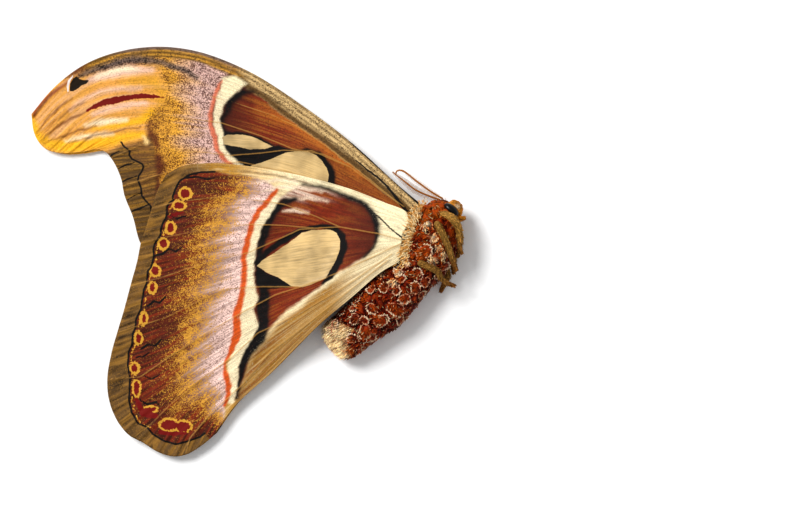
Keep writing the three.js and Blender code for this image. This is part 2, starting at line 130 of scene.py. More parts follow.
class BodySettings(bpy.types.PropertyGroup):
    """Sizes and colours of the body, legs and antennae."""

    cushion: length_property("Coat cushion", "Spacing of the coat's matted cushions", 2.7)
    cushion_rise: length_property("Cushion rise", "How far a cushion stands over its crease", 1.0)
    lock: length_property("Lock", "Length of a lock of hair scales", 1.1)
    rust: colour_property("Rust coat", "Matted coat of thorax and abdomen", "#96290a")
    shade: colour_property("Coat shade", "Creases between the cushions", "#2c0a04")
    cream: colour_property("Cream rims", "Rims of the cushions and pale tufts", "#f8e6c4")
    amber: colour_property("Amber", "Glow of the coat's tufts and the collar", "#d66c18")
    face: colour_property("Face", "Golden hair of the face and palps", "#dd9534")
    feeler: colour_property("Feeler", "Antennae", "#9c6024")
    eye: colour_property("Eye", "Compound eye", "#070607")


class StageSettings(bpy.types.PropertyGroup):
    """Floor, light and camera."""

    floor: colour_property("Floor", "Plain pale floor", "#ffffff")
    lens: number_property("Lens", "Focal length", 200, min=20, unit="CAMERA")
    light: number_property("Light", "Strength of the key light", 2.7, min=0)
    height: angle_property("Height", "Lean of the key light from overhead", 44)
    heading: angle_property("Heading", "Where the key light comes from", -130)
    softness: angle_property("Softness", "Width of the key light in the sky", 28)
    sky: number_property("Sky", "Strength of the light all round", 0.44, min=0)


# Wing lines as on the solids: from the root to the outer margin, front edge first
FOREWING_LINES = [
    [
        (-3.4, 11), (-9.9, 16.4), (-25.4, 30.5), (-40.9, 42.2), (-56.4, 52.1), (-71.9, 58.3),
        (-84.3, 60), (-96.7, 58.6), (-107.6, 54.6), (-116.9, 47.7), (-124.3, 39.1),
    ],
    [(-4.2, 10.2), (-24, 25), (-41, 34.7), (-56, 40), (-80, 47), (-103, 45.6), (-122, 30.9)],
    [(-5, 9.5), (-24, 21.5), (-39, 28.5), (-65, 36.3), (-100, 39.3), (-115, 27)],
    [(-5.7, 8.8), (-22, 17.5), (-41, 26.5), (-67, 27.3), (-99.5, 25.2)],
    [(-6.4, 8), (-25, 14), (-56, 23.5), (-96, 16)],
    [(-7.1, 7.1), (-25.4, 2.5), (-56.4, -2.8), (-88.3, -4.7)],
]
FOREWING_MARGIN = [
    (-124.3, 39.1), (-123.7, 34.1), (-122.2, 30.7), (-119.7, 28.2), (-115.3, 27), (-109, 27.3),
    (-103.5, 28.1), (-101.1, 27.2), (-98.6, 24), (-96.4, 19), (-95.4, 14), (-92.7, 7.1), (-90.8, 0),
    (-88.3, -4.7),
]
HINDWING_LINES = [
    [
        (-7.1, 5.6), (-8, 8.6), (-14.6, 11.5), (-25.4, 15.8), (-40.9, 20), (-56.4, 22.8), (-68.8, 23.8),
        (-77.2, 22.9), (-82.5, 20.1),
    ],
    [(-9.2, 1.6), (-28.5, 4.9), (-51.8, 12.6), (-73.5, 13), (-86.8, 9.9)],
    [(-9.3, 0.6), (-30, 3.8), (-56.4, 4.8), (-90.2, -0.9)],
    [(-9.4, -0.4), (-35.3, 2.6), (-61.1, -4.7), (-93.3, -13.6)],
    [(-9.6, -1.9), (-35.3, -12.6), (-56.4, -14.1), (-75, -20), (-97.3, -27.9)],
    [(-9.8, -2.9), (-38, -14.8), (-60.1, -23.2), (-82.8, -36.3), (-100.6, -42.5)],
    [(-10, -4.5), (-28.5, -15.8), (-59.5, -35.6), (-79.7, -49.3), (-92.7, -61.1)],
    [(-10.1, -5.6), (-31.6, -21.4), (-56.4, -43.7), (-71.9, -58), (-76, -66.2)],
    [
        (-10.2, -6.8), (-15.8, -10), (-25.4, -18.2), (-35, -26.3), (-50.2, -41.5), (-60.8, -51.1),
        (-67.9, -60.8),
    ],
]
HINDWING_MARGIN = [
    (-82.5, 20.1), (-85.2, 15), (-86.8, 9.9), (-88.6, 4), (-90.2, -0.9), (-91.4, -6.8), (-93.3, -13.6),
    (-95.4, -21.5), (-97.3, -27.9), (-99.2, -34.5), (-100.6, -42.5), (-100.2, -49), (-98, -55.2),
    (-94.2, -60.2), (-89.6, -62.8), (-84.3, -66), (-79.5, -67.1), (-75.5, -66.2), (-70.5, -63),
    (-67.9, -60.8),
]

# How the wings lie, as on the solids. Heights in mm: the stack slopes down from the body to the
# margin over the two reaches of SLOPE, and the forewing's lobe sinks between the first two of LOBE.
# FORE_LAYER and HIND_LAYER give each wing's distance from the stack's middle and how far its root spreads.
BODY_MID_HEIGHT = 6.4
WING_STACK_HEIGHT = 1.85
BACK_LINE = ((-6.2, 8.7), (-34.1, -26.4))
SPREAD_REACH = 12
SLOPE = (92, 72, 1.2)
LOBE = (26, 38, 1.05)
LOWER_WING_SCALE = 0.985
FORE_LAYER = (0.45, 1.9)
HIND_LAYER = (1.6, 3.1)
FORE_CELLS = (165, 285)
HIND_CELLS = (235, 200)
LEFT_CELL_SHARE = 0.5

# Each wing's Lie map, in mm: its width and its length
LIE_WIDTH = 120
LIE_LENGTH = 100

# Relief, in mm: a vein's half width, the valley beside it, and the folds' map across and along
VEIN_WIDTH = 0.5
VALLEY_OUT = 1.4
VALLEY_WIDTH = 0.9
FOLD_MAP = (160, 14)
CREASE_MAP = (150, 8)
FLOOR_GAP = 0.02

# Veins, in the picture's pixels
FOREWING_VEINS = [
    [
        (398, 203), (360, 172), (330, 149), (300, 128), (270, 114), (225, 100), (180, 88.5),
        (150, 85.5), (115, 88), (85, 99), (60, 117), (43, 140),
    ],
    [
        (404, 207), (370, 182), (350, 167), (325, 155), (293, 149), (260, 135.5), (222, 123),
        (180, 117), (150, 112.5), (120, 113), (105, 115), (75, 130), (60, 150),
    ],
    [
        (350, 167), (312, 151), (283, 150.5), (262, 153), (230, 155.5), (180, 149.5), (140, 145),
        (110, 158),
    ],
    [(408, 213), (350, 192), (290, 172), (240, 162), (190, 165), (122, 186)],
]
HINDWING_VEINS = [
    [
        (402, 240), (379, 234), (340, 227), (315, 216), (285, 204.5), (250, 199.5), (220, 197),
        (180, 201), (151, 208),
    ],
    [(340, 227), (315, 228.5), (285, 225.5), (250, 224.5), (215, 228), (172, 236), (140, 243)],
    [(322, 228), (300, 229.5), (275, 241), (250, 252), (205, 263), (160, 278), (130, 286)],
    [
        (402, 243), (362, 262), (322, 279.5), (300, 287), (262, 286.5), (228, 289), (205, 298),
        (165, 318), (118, 332),
    ],
    [(300, 287), (275, 295), (245, 311), (215, 328), (175, 353), (140, 377), (109, 379)],
    [
        (392, 254), (340, 290), (290, 318), (258, 333), (230, 359), (205, 376), (170, 405), (150, 425),
        (134, 437),
    ],
    [(388, 260), (330, 306), (270, 352), (240, 387), (212, 412), (190, 438), (186, 453)],
]

# Hindwing marks, in the picture's pixels. A third number is the mark's half width there.
SCALLOPS = [
    (215, 172), (200, 172.5), (190, 175), (180, 181), (176, 188), (172.5, 197), (174, 200), (170, 202),
    (167, 207), (167, 212), (166, 218), (163, 223), (161, 229), (161, 235), (155, 243), (153.5, 249),
    (154, 256), (153, 262), (151, 268), (148, 271), (147, 283), (144, 290), (143, 297), (141.5, 304),
    (141, 310), (138, 315), (136, 320), (135.5, 328), (133, 333), (132, 345), (129, 351), (128, 365),
    (130, 378), (129.5, 392), (129, 400), (132, 413), (138, 423), (147, 427), (153, 434), (164, 441),
    (176, 444.5), (188, 441), (200, 437), (205, 433),
]
MEDIAN_BAND = [
    (277, 190, 1.6), (270, 198, 2.2), (260, 210, 2.6), (252, 224, 2.8), (247, 240, 2.8),
    (244.5, 260, 2.8), (244, 280, 2.8), (241, 300, 3.2), (237, 316, 3.8), (236.5, 335, 4.2),
    (233, 348, 3), (227, 359, 1), (225, 366, 1), (226, 375, 2.6), (229, 386, 2.8), (229, 394, 2.2),
    (225, 404, 1.6),
]
WHITE_BAND = [
    (273, 200, 5), (264, 215, 6), (258, 225, 4.5), (254, 240, 4), (251, 255, 4), (250, 272, 4),
    (250, 287, 5), (249, 298, 9), (247, 308, 7), (249, 325, 9), (245, 338, 7), (239, 352, 5),
    (233, 365, 5), (234, 385, 3.5), (232, 400, 3),
]
BAND_EDGE = [
    (296, 198, 2), (284, 202, 3.6), (275, 211, 4.2), (268, 224, 4.5), (263, 238, 4.5), (260, 252, 3.6),
    (258, 265, 3), (260, 280, 3.6), (264, 292, 5), (263, 308, 6), (264, 322, 5.5), (259, 338, 6),
    (250, 350, 5.5), (243, 362, 4.4), (240, 378, 2.5), (237, 398, 1.2),
]
WINDOW = [
    (257, 266), (263, 260), (275, 253), (290, 242), (302, 233), (312, 230), (331, 230), (337, 233),
    (340.5, 240), (340, 250), (336, 261), (326, 278), (312, 284), (303, 287), (292, 286.5), (278, 277),
    (266, 272),
]
WINDOW_RIM = [
    (257, 262, 3), (275, 247, 3.5), (290, 236, 3.5), (304, 229.5, 2.5), (320, 227, 2),
    (334, 228.5, 3.5), (342, 236, 4), (344, 248, 4), (339, 262, 4), (331, 275, 4), (324, 282, 2),
]
WINDOW_FOOT = [(256, 268), (276, 275), (296, 286.5), (284, 289), (262, 288), (256, 285)]
BASAL_LINE = [
    (303, 184, 1), (325, 188, 1.4), (340, 193.5, 1.8), (355, 200, 2.2), (366, 207, 2.7),
    (374, 216, 3.2), (377, 226, 3.2), (378, 236, 2.2), (374, 247, 1.4), (364, 257, 0.8),
]
MEDIAN_FIELD = [
    (283, 196), (300, 186), (325, 189), (340, 194), (355, 201), (366, 208), (374, 217), (377.5, 228),
    (377, 240), (370, 252), (356, 263), (335, 275), (312, 293), (290, 309), (268, 330), (252, 350),
    (238, 396), (232, 400), (236, 360), (245, 335), (245, 300), (250, 270), (256, 240), (266, 215),
]
# Crinkles in the median field, painted pale as highlights on their folds
CRINKLE_HIGHLIGHTS = [
    [(262, 192, 0.6), (280, 187, 1.4), (300, 187, 1.8), (322, 192, 1)],
    [(268, 200, 0.5), (288, 196, 1.2), (310, 198, 1.4), (328, 203, 0.5)],
    [(284, 212, 1), (296, 210, 2.2), (308, 212, 0.8)],
    [(256, 183, 0.6), (276, 180, 1.2), (296, 182, 0.8)],
]
ANAL_STRIPE = [
    (402, 246), (378, 251), (356, 266), (335, 281), (312, 297), (290, 316), (268, 338), (254, 356),
    (237, 398), (236, 410), (300, 360), (400, 280),
]
MARGIN_SPOTS = [
    (185, 193, 5, 4), (179, 205, 5, 3.5), (170.5, 228, 3.5, 4.5), (164, 244, 4, 5), (155.5, 270, 3, 4),
    (153, 288, 2.5, 5), (143.5, 319, 2, 4.5), (139, 338, 3, 5), (135, 368, 3, 4), (137, 388, 3, 7),
    (148, 410, 7, 3), (170, 425, 9, 5), (183, 426, 7, 5),
]
SPOT_RIM = (2.6, 2.4)

# Stretches of SCALLOPS with a golden line beside them, and its distance across and down
GOLDEN_BORDERS = ((8, 12), (12, 22), (22, 28), (28, 38))
BORDER_SHIFT = (3, 1)
SPOT_STREAKS = [
    [(170, 217, 1.6), (177, 214, 1.8), (183, 212, 1)],
    [(137, 400, 2), (143, 414, 3), (156, 416, 2.5)],
    [(160, 432, 2), (172, 434, 2), (186, 433, 1.5)],
]
# Dark lines painted as the shade in the wrinkles of the field behind the margin
WRINKLE_SHADOWS = [
    [(155, 256, 0.9), (163, 254, 1.2), (170, 249, 0.9), (176, 252, 1.1), (183, 247, 0.6)],
    [(147, 306, 0.9), (154, 301, 1.2), (160, 303, 1.0), (166, 297, 0.8), (173, 299, 0.5)],
    [(140, 350, 0.9), (148, 345, 1.3), (156, 346, 1.1), (161, 340, 0.9), (168, 341, 0.5)],
    [(136, 357, 0.8), (143, 357, 1.1), (150, 352, 0.6)],
    [(139, 398, 0.9), (147, 404, 1.3), (156, 402, 1.1), (161, 408, 0.6)],
    [(168, 214, 0.7), (177, 219, 1.0), (186, 216, 0.8), (193, 221, 0.4)],
    [(143, 375, 0.7), (152, 379, 1.0), (160, 374, 0.5)],
    [(186, 179, 0.7), (197, 177, 1.1), (208, 180, 0.9), (216, 178, 0.4)],
]
BASAL_VEIN = [(358, 202, 0.5), (370, 210, 0.8), (380, 218, 0.9), (390, 228, 0.9), (402, 238, 0.7)]
COSTAL_STREAK = [(240, 172, 0.4), (270, 174, 0.7), (300, 181, 0.8), (312, 184, 0.6)]

# Far corners that close the fields' outlines, and where fields fade in, from nothing to full
FIELD_CORNERS = [(225, 480), (60, 480), (60, 172), (215, 172), (250, 177), (268, 182)]
MARGIN_CORNERS = [(240, 480), (700, 480), (700, 100), (215, 100)]
GOLDEN_PLACES = [0.18, 0.34, 0.46, 0.6, 0.72, 0.84, 1]
GOLDEN_DENSITIES = [0.02, 0.16, 0.5, 0.58, 0.4, 0.26, 0.12]
STRIP_START = 400
STRIP_LENGTH = 220
MARGIN_FADE = {"x": (176, 212), "y": (184, 174)}
BASAL_FADE = {"x": (325, 375)}
BAND_FADE = {"x": (310, 262), "y": (250, 215)}
CRINKLE_FADE = {"x": (348, 318), "y": (206, 190)}
STRIPE_CREAM_FADE = {"x": (325, 368)}
STRIPE_BROWN_FADE = {"x": (318, 255)}

# Forewing marks, in the picture's pixels
FORE_MEDIAN_BAND = [
    (222, 81, 1.2), (217, 90, 1.8), (213, 99, 2), (211, 108, 2), (210, 117, 2), (210.5, 125, 2.2),
    (214, 136, 2.4), (217, 149, 2), (223, 158, 2), (231, 165, 2.4), (240, 172, 2), (250, 190, 2),
]
FORE_WHITE_BAND = [
    (231, 86, 7), (222, 97, 6), (219.5, 105, 4.5), (216.5, 118, 3), (218, 128, 4), (220.5, 137, 3),
    (221, 145, 2.5), (224, 152, 2.5), (231, 160, 3.5), (240, 167, 3),
]
CREAM_WEDGE = [(222, 78), (236, 76), (246, 84), (238, 91), (228, 97), (221, 98)]
FORE_BAND_EDGE = [
    (252, 92, 2), (243, 93, 4), (235, 97, 5), (230, 101, 5), (229, 108, 4), (227, 113, 3.5),
    (222, 119, 3), (222, 127, 3), (225, 133, 3),
]
FORE_WINDOWS = [
    [
        (222, 137), (228, 134.8), (243, 134.5), (252, 136.5), (260, 140), (268, 144), (273, 146.5),
        (266, 149), (250, 149.5), (236, 146.5), (224, 144.5),
    ],
    [
        (250, 166), (262, 162), (272, 158.5), (286, 153), (298, 150.8), (308, 151.5), (316, 155.5),
        (322, 161), (327, 168), (329, 175), (327, 186), (300, 184), (270, 176),
    ],
]
FORE_WINDOW_DARK = [
    (222, 132), (243, 131), (262, 137), (276, 146), (292, 149), (308, 148.5), (320, 153), (330, 162),
    (336, 172), (336, 190), (300, 190), (262, 172), (246, 168), (238, 165), (229, 157), (221, 149),
]
COSTAL_BORDER = [
    (236, 78), (245, 88), (258, 96), (270, 105), (285, 117), (300, 128), (310, 134), (320, 141),
    (330, 149), (340, 157), (350, 164), (360, 172), (370, 181), (380, 190), (390, 197), (398, 203),
    (408, 214), (440, 240), (440, 20), (236, 20),
]
COSTAL_DARK = [
    (356, 160, 0.5), (370, 172, 0.9), (382, 182, 1), (391, 191, 1.2), (400, 203, 1.6), (408, 214, 2.2),
]
COSTAL_EDGE = [(350, 142, 0.5), (370, 159.5, 1), (390, 177, 1.3), (410, 195, 1.6), (421, 205, 2)]
FORE_ZIGZAG = [
    (121, 142), (123, 146), (128, 149.5), (130, 151), (129, 155), (132, 159), (137, 161.5), (142, 164),
    (143.5, 167), (142, 171), (139, 176), (138, 180), (141, 187), (142, 196), (145, 200), (148, 203),
    (151, 206.5), (152, 220), (154, 240),
]
FORE_MAROON = [
    [(148, 132, 3), (155, 138, 4.5), (158, 146, 3)],
    [(158, 156, 3), (160, 165, 4.5), (159, 174, 3)],
    [(158, 180, 2), (158, 187, 3), (157, 196, 1.5)],
]
ORANGE_STREAK = [(256, 109, 2), (275, 116, 4), (295, 125, 5), (320, 143, 5), (360, 174, 4)]
LOBE_FIELD = [
    (20, 170), (20, 95), (40, 84), (80, 74), (110, 68), (140, 64), (158, 66), (163, 80), (168, 94),
    (162, 104), (152, 112), (146, 122), (147, 132), (140, 141), (122, 146), (104, 152), (100, 165),
]
LOBE_YELLOW = [
    [
        (31, 118, 3), (36, 134, 5), (47, 144, 5), (62, 147, 6), (80, 145, 7), (98, 142, 6.5),
        (115, 139, 5), (142, 134, 3),
    ],
    [(92, 128, 1), (108, 126, 2.5), (126, 124, 3.5), (142, 120, 4), (152, 112, 4)],
]
LOBE_PINK = [
    [(88, 80, 2), (100, 76, 4), (118, 72, 5.5), (134, 70, 5), (150, 70, 3)],
    [(92, 114, 1.5), (110, 108, 2.6), (128, 105, 2.8), (146, 104, 2)],
    [(70, 110, 1.2), (86, 98, 2), (100, 92, 2.4), (120, 88, 2), (140, 88, 1.2)],
]
LOBE_WHITE = [
    [(84, 125, 1), (98, 122, 2.8), (112, 120, 3), (126, 120, 1.6)],
    [(66, 141, 1), (82, 137, 2), (98, 134.5, 2), (112, 133, 1)],
    [(96, 76, 1), (112, 71, 2.6), (126, 69, 2.4), (138, 69, 1)],
]
TIP_GOLD = [(120, 83, 1), (138, 80, 4), (154, 82, 5), (162, 92, 4), (160, 104, 2)]
# Dark lines painted as the shade in the forewing's creases
FORE_CREASE_SHADOWS = [
    [(108, 158, 0.5), (113, 154, 0.9), (119, 151, 0.5)],
    [(115, 170, 0.5), (124, 166, 1), (134, 163, 0.6)],
    [(121, 182, 0.5), (128, 179, 1), (137, 176, 0.6)],
    [(127, 200, 0.4), (135, 196, 0.8), (141, 193, 0.4)],
    [(131, 212, 0.6), (140, 208, 1), (150, 204, 0.6)],
]
# Darker lines painted as the shade in the tip lobe's fanned folds
LOBE_FOLD_SHADOWS = [
    [(41, 141, 0.5), (50, 133, 1.1), (60, 125, 1.3), (72, 117, 1.2), (87, 111, 0.6)],
    [(43, 144, 0.4), (62, 137, 0.9), (80, 130, 1), (96, 126, 0.5)],
    [(37, 132, 0.4), (46, 120, 0.8), (58, 108, 0.9), (72, 99, 0.5)],
    [(40, 138, 0.3), (55, 121, 0.7), (70, 109, 0.8), (84, 102, 0.4)],
    [(70, 143, 0.3), (92, 136, 0.8), (116, 131, 0.8), (140, 127, 0.4)],
]
CRIMSON_SLASH = [
    (86, 110.5, 0.8), (95, 106, 2.2), (105, 102.5, 3), (115, 99.8, 3.4), (126, 97.5, 2.4),
    (135, 96.6, 2.6), (145, 95.8, 2.4), (155, 96.4, 1.6), (163, 97, 0.5),
]
EYESPOT = [
    (69, 91), (69.5, 84), (72, 78.5), (76, 76), (78.5, 79), (83, 80), (89, 79.5), (86, 83.5), (81, 85),
    (78, 88), (73, 91),
]
EYESPOT_CRESCENT = [(72.5, 75.5, 0.6), (68.6, 80.5, 1.1), (67.2, 86, 1.1), (67.8, 92, 0.6)]
RED_EDGE = [(70, 80, 1), (58, 88, 1.8), (46, 98, 2.2), (37, 108, 2.4), (33, 115, 2)]
GREY_DUSTING = [
    (78, 77, 1.5), (100, 67, 3.2), (120, 62, 3.6), (140, 59, 3.6), (160, 61, 3.4), (178, 67, 3),
    (196, 77, 2),
]

# The same for the forewing, where the first points of COSTAL_BORDER are its inner line
COSTAL_LINE_POINTS = 17
COSTAL_STRIPES = 4.2
SHOULDER_STRIPES = 5.0
LOBE_NICK = [(143, 137, 1.5), (146, 142, 2)]
OUTER_CORNERS = [(250, 280), (10, 280), (10, 20), (236, 20), (234, 66)]
UNDER_LOBE = [(96, 130), (146, 128), (153, 140), (157, 160), (160, 190), (168, 260), (90, 260)]
RIM_CORNERS = [(154, 300), (60, 300), (60, 142)]
OUTER_START = 150
OUTER_LENGTH = 62
ROOT_FADE = {"x": (270, 340)}
FORE_BAND_FADE = {"x": (268, 226)}
SHOULDER_FADE = {"x": (76, 96)}
SHOULDER_END_FADE = {"x": (250, 225)}
FRONT_FADE = {"x": (100, 130)}

# Body, head and limbs: millimetres from the thorax's centre, as on the solids. Each section holds
# its place, height, half depth and half width.
TRUNK_SECTIONS = [
    (4, 11.7, 6.8, 1.8, 2), (3.5, 10.4, 6.8, 4.2, 4.2), (2.2, 7, 6.7, 6.8, 6),
    (0.6, 1.9, 6.6, 8.3, 6.9), (-1.1, -3.1, 6.4, 8.4, 6.7), (-3.4, -7.5, 6.2, 7.8, 6.3),
    (-5.9, -10.8, 6.1, 6.9, 6), (-9.6, -14.6, 6.1, 7.7, 6.4), (-15.2, -19.8, 6, 8.5, 6.3),
    (-21.2, -25.2, 5.7, 7.3, 6), (-26.5, -29.4, 5.3, 7, 5.5), (-29.2, -31.2, 5, 6.9, 4.9),
    (-30.7, -32.3, 4.8, 5.2, 3.4),
]
HEAD_SECTIONS = [
    (3.9, 10.6, 6.9, 2, 2.1), (4.7, 10, 6.9, 3, 3), (6, 9.2, 6.9, 3.3, 3.3), (7.5, 8.4, 6.9, 2.7, 2.6),
    (8.5, 7.8, 6.9, 1.3, 1.3),
]
TRUNK_FLOOR = 0.12
LOCK_FLOOR = 0.03
LIMB_CAP = 0.03
LIMB_ROWS = 200
JOINT_SPREAD = 0.018
CORE_DEPTH = 1
HEAD_DEPTH = 0.1
TRUNK_CAP = 0.06
HEAD_CAP = 0.3
SKIN_CELLS = (150, 260)
HEAD_CELLS = (60, 50)
EYE_CELLS = (64, 40)
EYE_CLEARANCE = 0.12
EYE_AXES = (2.75, 1.6, 1.8)
EYE_TURN = -42
HEAD_HEIGHT = 6.9

# Limbs: points down from the hip or socket with the radius there
LEGS = {
    "foreleg_right": [
        (2, 7.2, 10.2, 0.9), (3.8, 7.9, 12, 0.85), (6.4, 6.4, 12.6, 0.85), (8.1, 3.7, 11.6, 0.8),
        (8.4, 0.9, 10.4, 0.6), (8.6, -2.4, 9.6, 0.55), (9.3, -4.6, 9.2, 0.3),
    ],
    "foreleg_left": [
        (4.6, 6.4, 4.2, 0.9), (6.6, 4.8, 2.4, 0.8), (8.4, 2.2, 2.2, 0.75), (8.8, -0.6, 2.8, 0.6),
        (8.2, -3.6, 3, 0.5), (8, -5.4, 3, 0.3),
    ],
    "midleg_right": [
        (1.2, 5.6, 12.6, 0.95), (2.4, 3.2, 13.9, 0.95), (3.8, 0.4, 14, 0.85), (5, -2.4, 13.2, 0.75),
        (6, -5.4, 11.8, 0.7), (7, -8.2, 10.6, 0.6), (7.6, -9.8, 10, 0.35),
    ],
    "midleg_left": [
        (5.6, 2, 2.6, 0.9), (7, -1, 1.6, 0.8), (6.8, -5, 1.4, 0.7), (6.6, -8.6, 1.6, 0.55),
        (6.8, -10.6, 1.6, 0.3),
    ],
    "hindleg_right": [
        (-4.4, -6.8, 12.4, 0.9), (-1.9, -8, 13.2, 0.85), (1.6, -9.8, 12.2, 0.8),
        (2.6, -11.6, 11.2, 0.65), (4.4, -13.2, 10.2, 0.6), (7.2, -14.3, 9.4, 0.35),
    ],
    "hindleg_left": [
        (2.4, -7.4, 2.8, 0.85), (4.4, -9, 1.8, 0.75), (4.8, -11.8, 1.6, 0.65), (3.4, -14.4, 1.6, 0.5),
        (2.6, -16.2, 1.6, 0.3),
    ],
}
LEG_COATS = {"foreleg": 1.32, "midleg": 1.08, "hindleg": 1.1}
LEG_JOINTS = (0.56, 0.7, 0.8, 0.88)
LEG_HUES = {"foreleg": "#cc9c50", "midleg": "#b48844", "hindleg": "#ac8040"}
ANTENNAE = {
    "right": [
        (3.4, 12.6, 9.4, 0.45), (-0.6, 15, 10.2, 0.42), (-4.7, 18, 10.4, 0.4), (-9.4, 21.4, 9.8, 0.36),
        (-10.9, 21.2, 9.3, 0.32), (-11.3, 19.9, 8.9, 0.25),
    ],
    "left": [
        (2.6, 12.4, 4.4, 0.45), (-1.6, 13.9, 3.8, 0.42), (-5.2, 15.6, 3.6, 0.4),
        (-8.6, 18.2, 3.2, 0.36), (-12.4, 21.2, 2.8, 0.25),
    ],
}
RAMI_TILT = {"right": 50, "left": 10}
PALPS = {
    "right": [(6.4, 7.2, 8.2, 0.7), (8.6, 6.6, 8.6, 0.65), (10, 6.7, 8.5, 0.3)],
    "left": [(6.4, 7.2, 5.6, 0.7), (8.6, 6.6, 5.2, 0.65), (10, 6.7, 5.3, 0.3)],
}

# Ranges by chance of each kind of lock: length and width in mm, then rise. Hair at the wings' roots
# has its lengths in WING_ROOTS.
LOCK_RANGES = {
    "limb": ((0.5, 1.2), (0.14, 0.3), (0.02, 0.25)),
    "tuft": ((0.6, 1.4), (0.2, 0.42), (0.05, 0.4)),
    "face": ((0.4, 0.9), (0.1, 0.2), (0.15, 0.7)),
    "root": ((0.12, 0.26), (0.0, 0.12)),
}

# How strongly locks spring up, and how far their roots sink in the coat or shift along x, in mm
LOCK_SPRING = 1.4
ROOT_SINK = 0.02
ROOT_SHIFT = [0.8, 0, 0]

# The OFBake map: its free edge, the span of the roots' places and the size of one lock's patch
BAKE_EDGE = 0.02
BAKE_SPAN = 0.95
BAKE_PATCH = 0.003

# Limbs: stretch under scales, fade to the end's colour, and girth of foot and antenna stalk as shares
SCALED_STRETCH = (0.02, 0.97)
LIMB_END_FADE = (0.55, 0.95)
FOOT_COAT = 1.15
STALK_SHARE = 0.7

# The eye's facets and the paler cheek's place and size, in mm
FACET_SIZE = 0.11
CHEEK = (7.2, 10.3, 1.6)

# Where the coat's glow and its upper side fade in, in mm, and how long the tail's streaks are drawn
THORAX_FADE = (-9, -4)
UPPER_FADE = (5, 7)
STREAK_STRETCH = 3.5

# Cells round and along a form, and how many of each small thing there are
LEG_CELLS = (14, 110)
PALP_CELLS = (12, 20)
PALP_JOINTS = (0.5,)
STALK_CELLS = (10, 90)
LEG_SCALES = 1000
PALP_SCALES = 260
FACE_SCALES = 4200
RAMI_PAIRS = 44

# Antenna branches: first and last row they stand on, length and width in mm, and lean to the tip
RAMI_STEPS = (14, 194)
RAMI_LENGTH = 1.5
RAMI_WIDTH = 0.1
RAMI_LEAN = 0.45

# Matted rings that stand out on the upper side: place and size in the picture's pixels
COAT_RINGS = [
    (343.5, 312, 6.2), (358, 300, 5.6), (385, 287.5, 5), (372, 291, 4), (372, 309, 5.2),
    (395, 309, 8.5), (380, 320, 7.5), (404, 298, 5.5), (355, 319, 5), (364.5, 331, 7.5),
    (353, 338, 5.5), (336, 324.5, 4), (424, 252, 8), (404.5, 250, 6), (443.5, 265.5, 5), (415, 287, 6),
    (424, 281, 5),
]

# Hair over the wings' roots: piece, border in pixels, the wing's two layer values, count, share of
# pale hair and longest hair in mm
SHOULDER_PIXEL = (428, 239)
WING_ROOTS = [
    ("hindwing_root_hair", [(413, 214), (401, 263)], HIND_LAYER, 760, 0.5, 1.7),
    ("forewing_root_hair", [(411, 215), (422, 206)], FORE_LAYER, 220, 0.3, 1.0),
]

# The coat: piece, its stretch along the trunk and its count of locks
COAT_PIECES = (("thorax_coat", 0, 0.47, 8600), ("abdomen_coat", 0.47, 1, 10800))
ROOT_WARMTH = np.array([1.1, 1.0, 0.78])
# Painted shade: shares that darken the skin where it shows between the locks
SKIN_SHADE = np.array([0.6, 0.42, 0.3])
PALE_SHARE = 0.08

# Rings: gap between their petals and between them and the cushion's border, share of the cushions
# that have one, and how near the head they reach
PETAL_SPACING = 0.2
PETAL_REACH = 0.72
RING_GRID = (300, 160)
RING_SHARE = 0.4
RING_LIMIT = -9

# Pale tufts on the thorax, and the tail's pale patch, in the picture's pixels
TUFT_LOCKS = 18
CREAM_TUFTS = [
    (419, 214, 4), (427.5, 226, 4.5), (434, 237, 4), (438, 247, 3.6), (441.5, 254.5, 4), (432, 261, 4),
    (408, 262.5, 4), (409, 236, 6), (405, 243, 5), (394, 282, 3.5), (383, 276, 3.5), (399, 273, 3.5),
]
TAIL_PATCH = [
    (318, 322), (335, 321), (350, 326), (353, 331), (347, 338), (350, 346), (349, 363), (335, 358),
    (322, 340),
]
TAIL_WARMTH = np.array([1.35, 1.24, 0.98])
TAIL_LINE = np.array([-0.82, -0.57])
TAIL_ACROSS = np.array([0.57, -0.82])
TAIL_BLOB = (351, 349, 5)
# Painted shade in the hollow at the tail's tip: place and size in the picture's pixels
TAIL_HOLE_SHADOW = (355, 352.5, 3)
COLLAR = [(410, 222), (412, 206), (424, 198), (446, 197), (449, 213), (438, 218), (424, 224)]


def plan_of(points):
    """Picture pixels as millimetres from the thorax's centre, with any width as a third column."""
    rows = []
    for x, y, *width in points:
        place = [(x - THORAX_PIXEL[0]) * PIXEL, (THORAX_PIXEL[1] - y) * PIXEL]
        rows.append(place + [width[0] * PIXEL if width else 0])
    return np.array(rows)


def centripetal(points, steps=40):
    """A centripetal Catmull-Rom curve through points, at even steps along its length."""
    given = np.array(points, float)
    given = np.vstack([2 * given[0] - given[1], given, 2 * given[-1] - given[-2]])
    pieces = []
    for x0, x1, x2, x3 in zip(given, given[1:], given[2:], given[3:]):
        d0, d1, d2 = (math.sqrt(np.linalg.norm(b - a)) for a, b in ((x0, x1), (x1, x2), (x2, x3)))
        start = ((x1 - x0) / d0 - (x2 - x0) / (d0 + d1) + (x2 - x1) / d1) * d1
        end = ((x2 - x1) / d1 - (x3 - x1) / (d1 + d2) + (x3 - x2) / d2) * d1
        t = np.linspace(0, 1, 24, endpoint=False)[:, None]
        pieces.append(
            x1 + start * t + (3 * (x2 - x1) - 2 * start - end) * t**2 + (2 * (x1 - x2) + start + end) * t**3
        )
    curve = np.vstack(pieces + [given[-2:-1]])
    return resample(curve, steps)


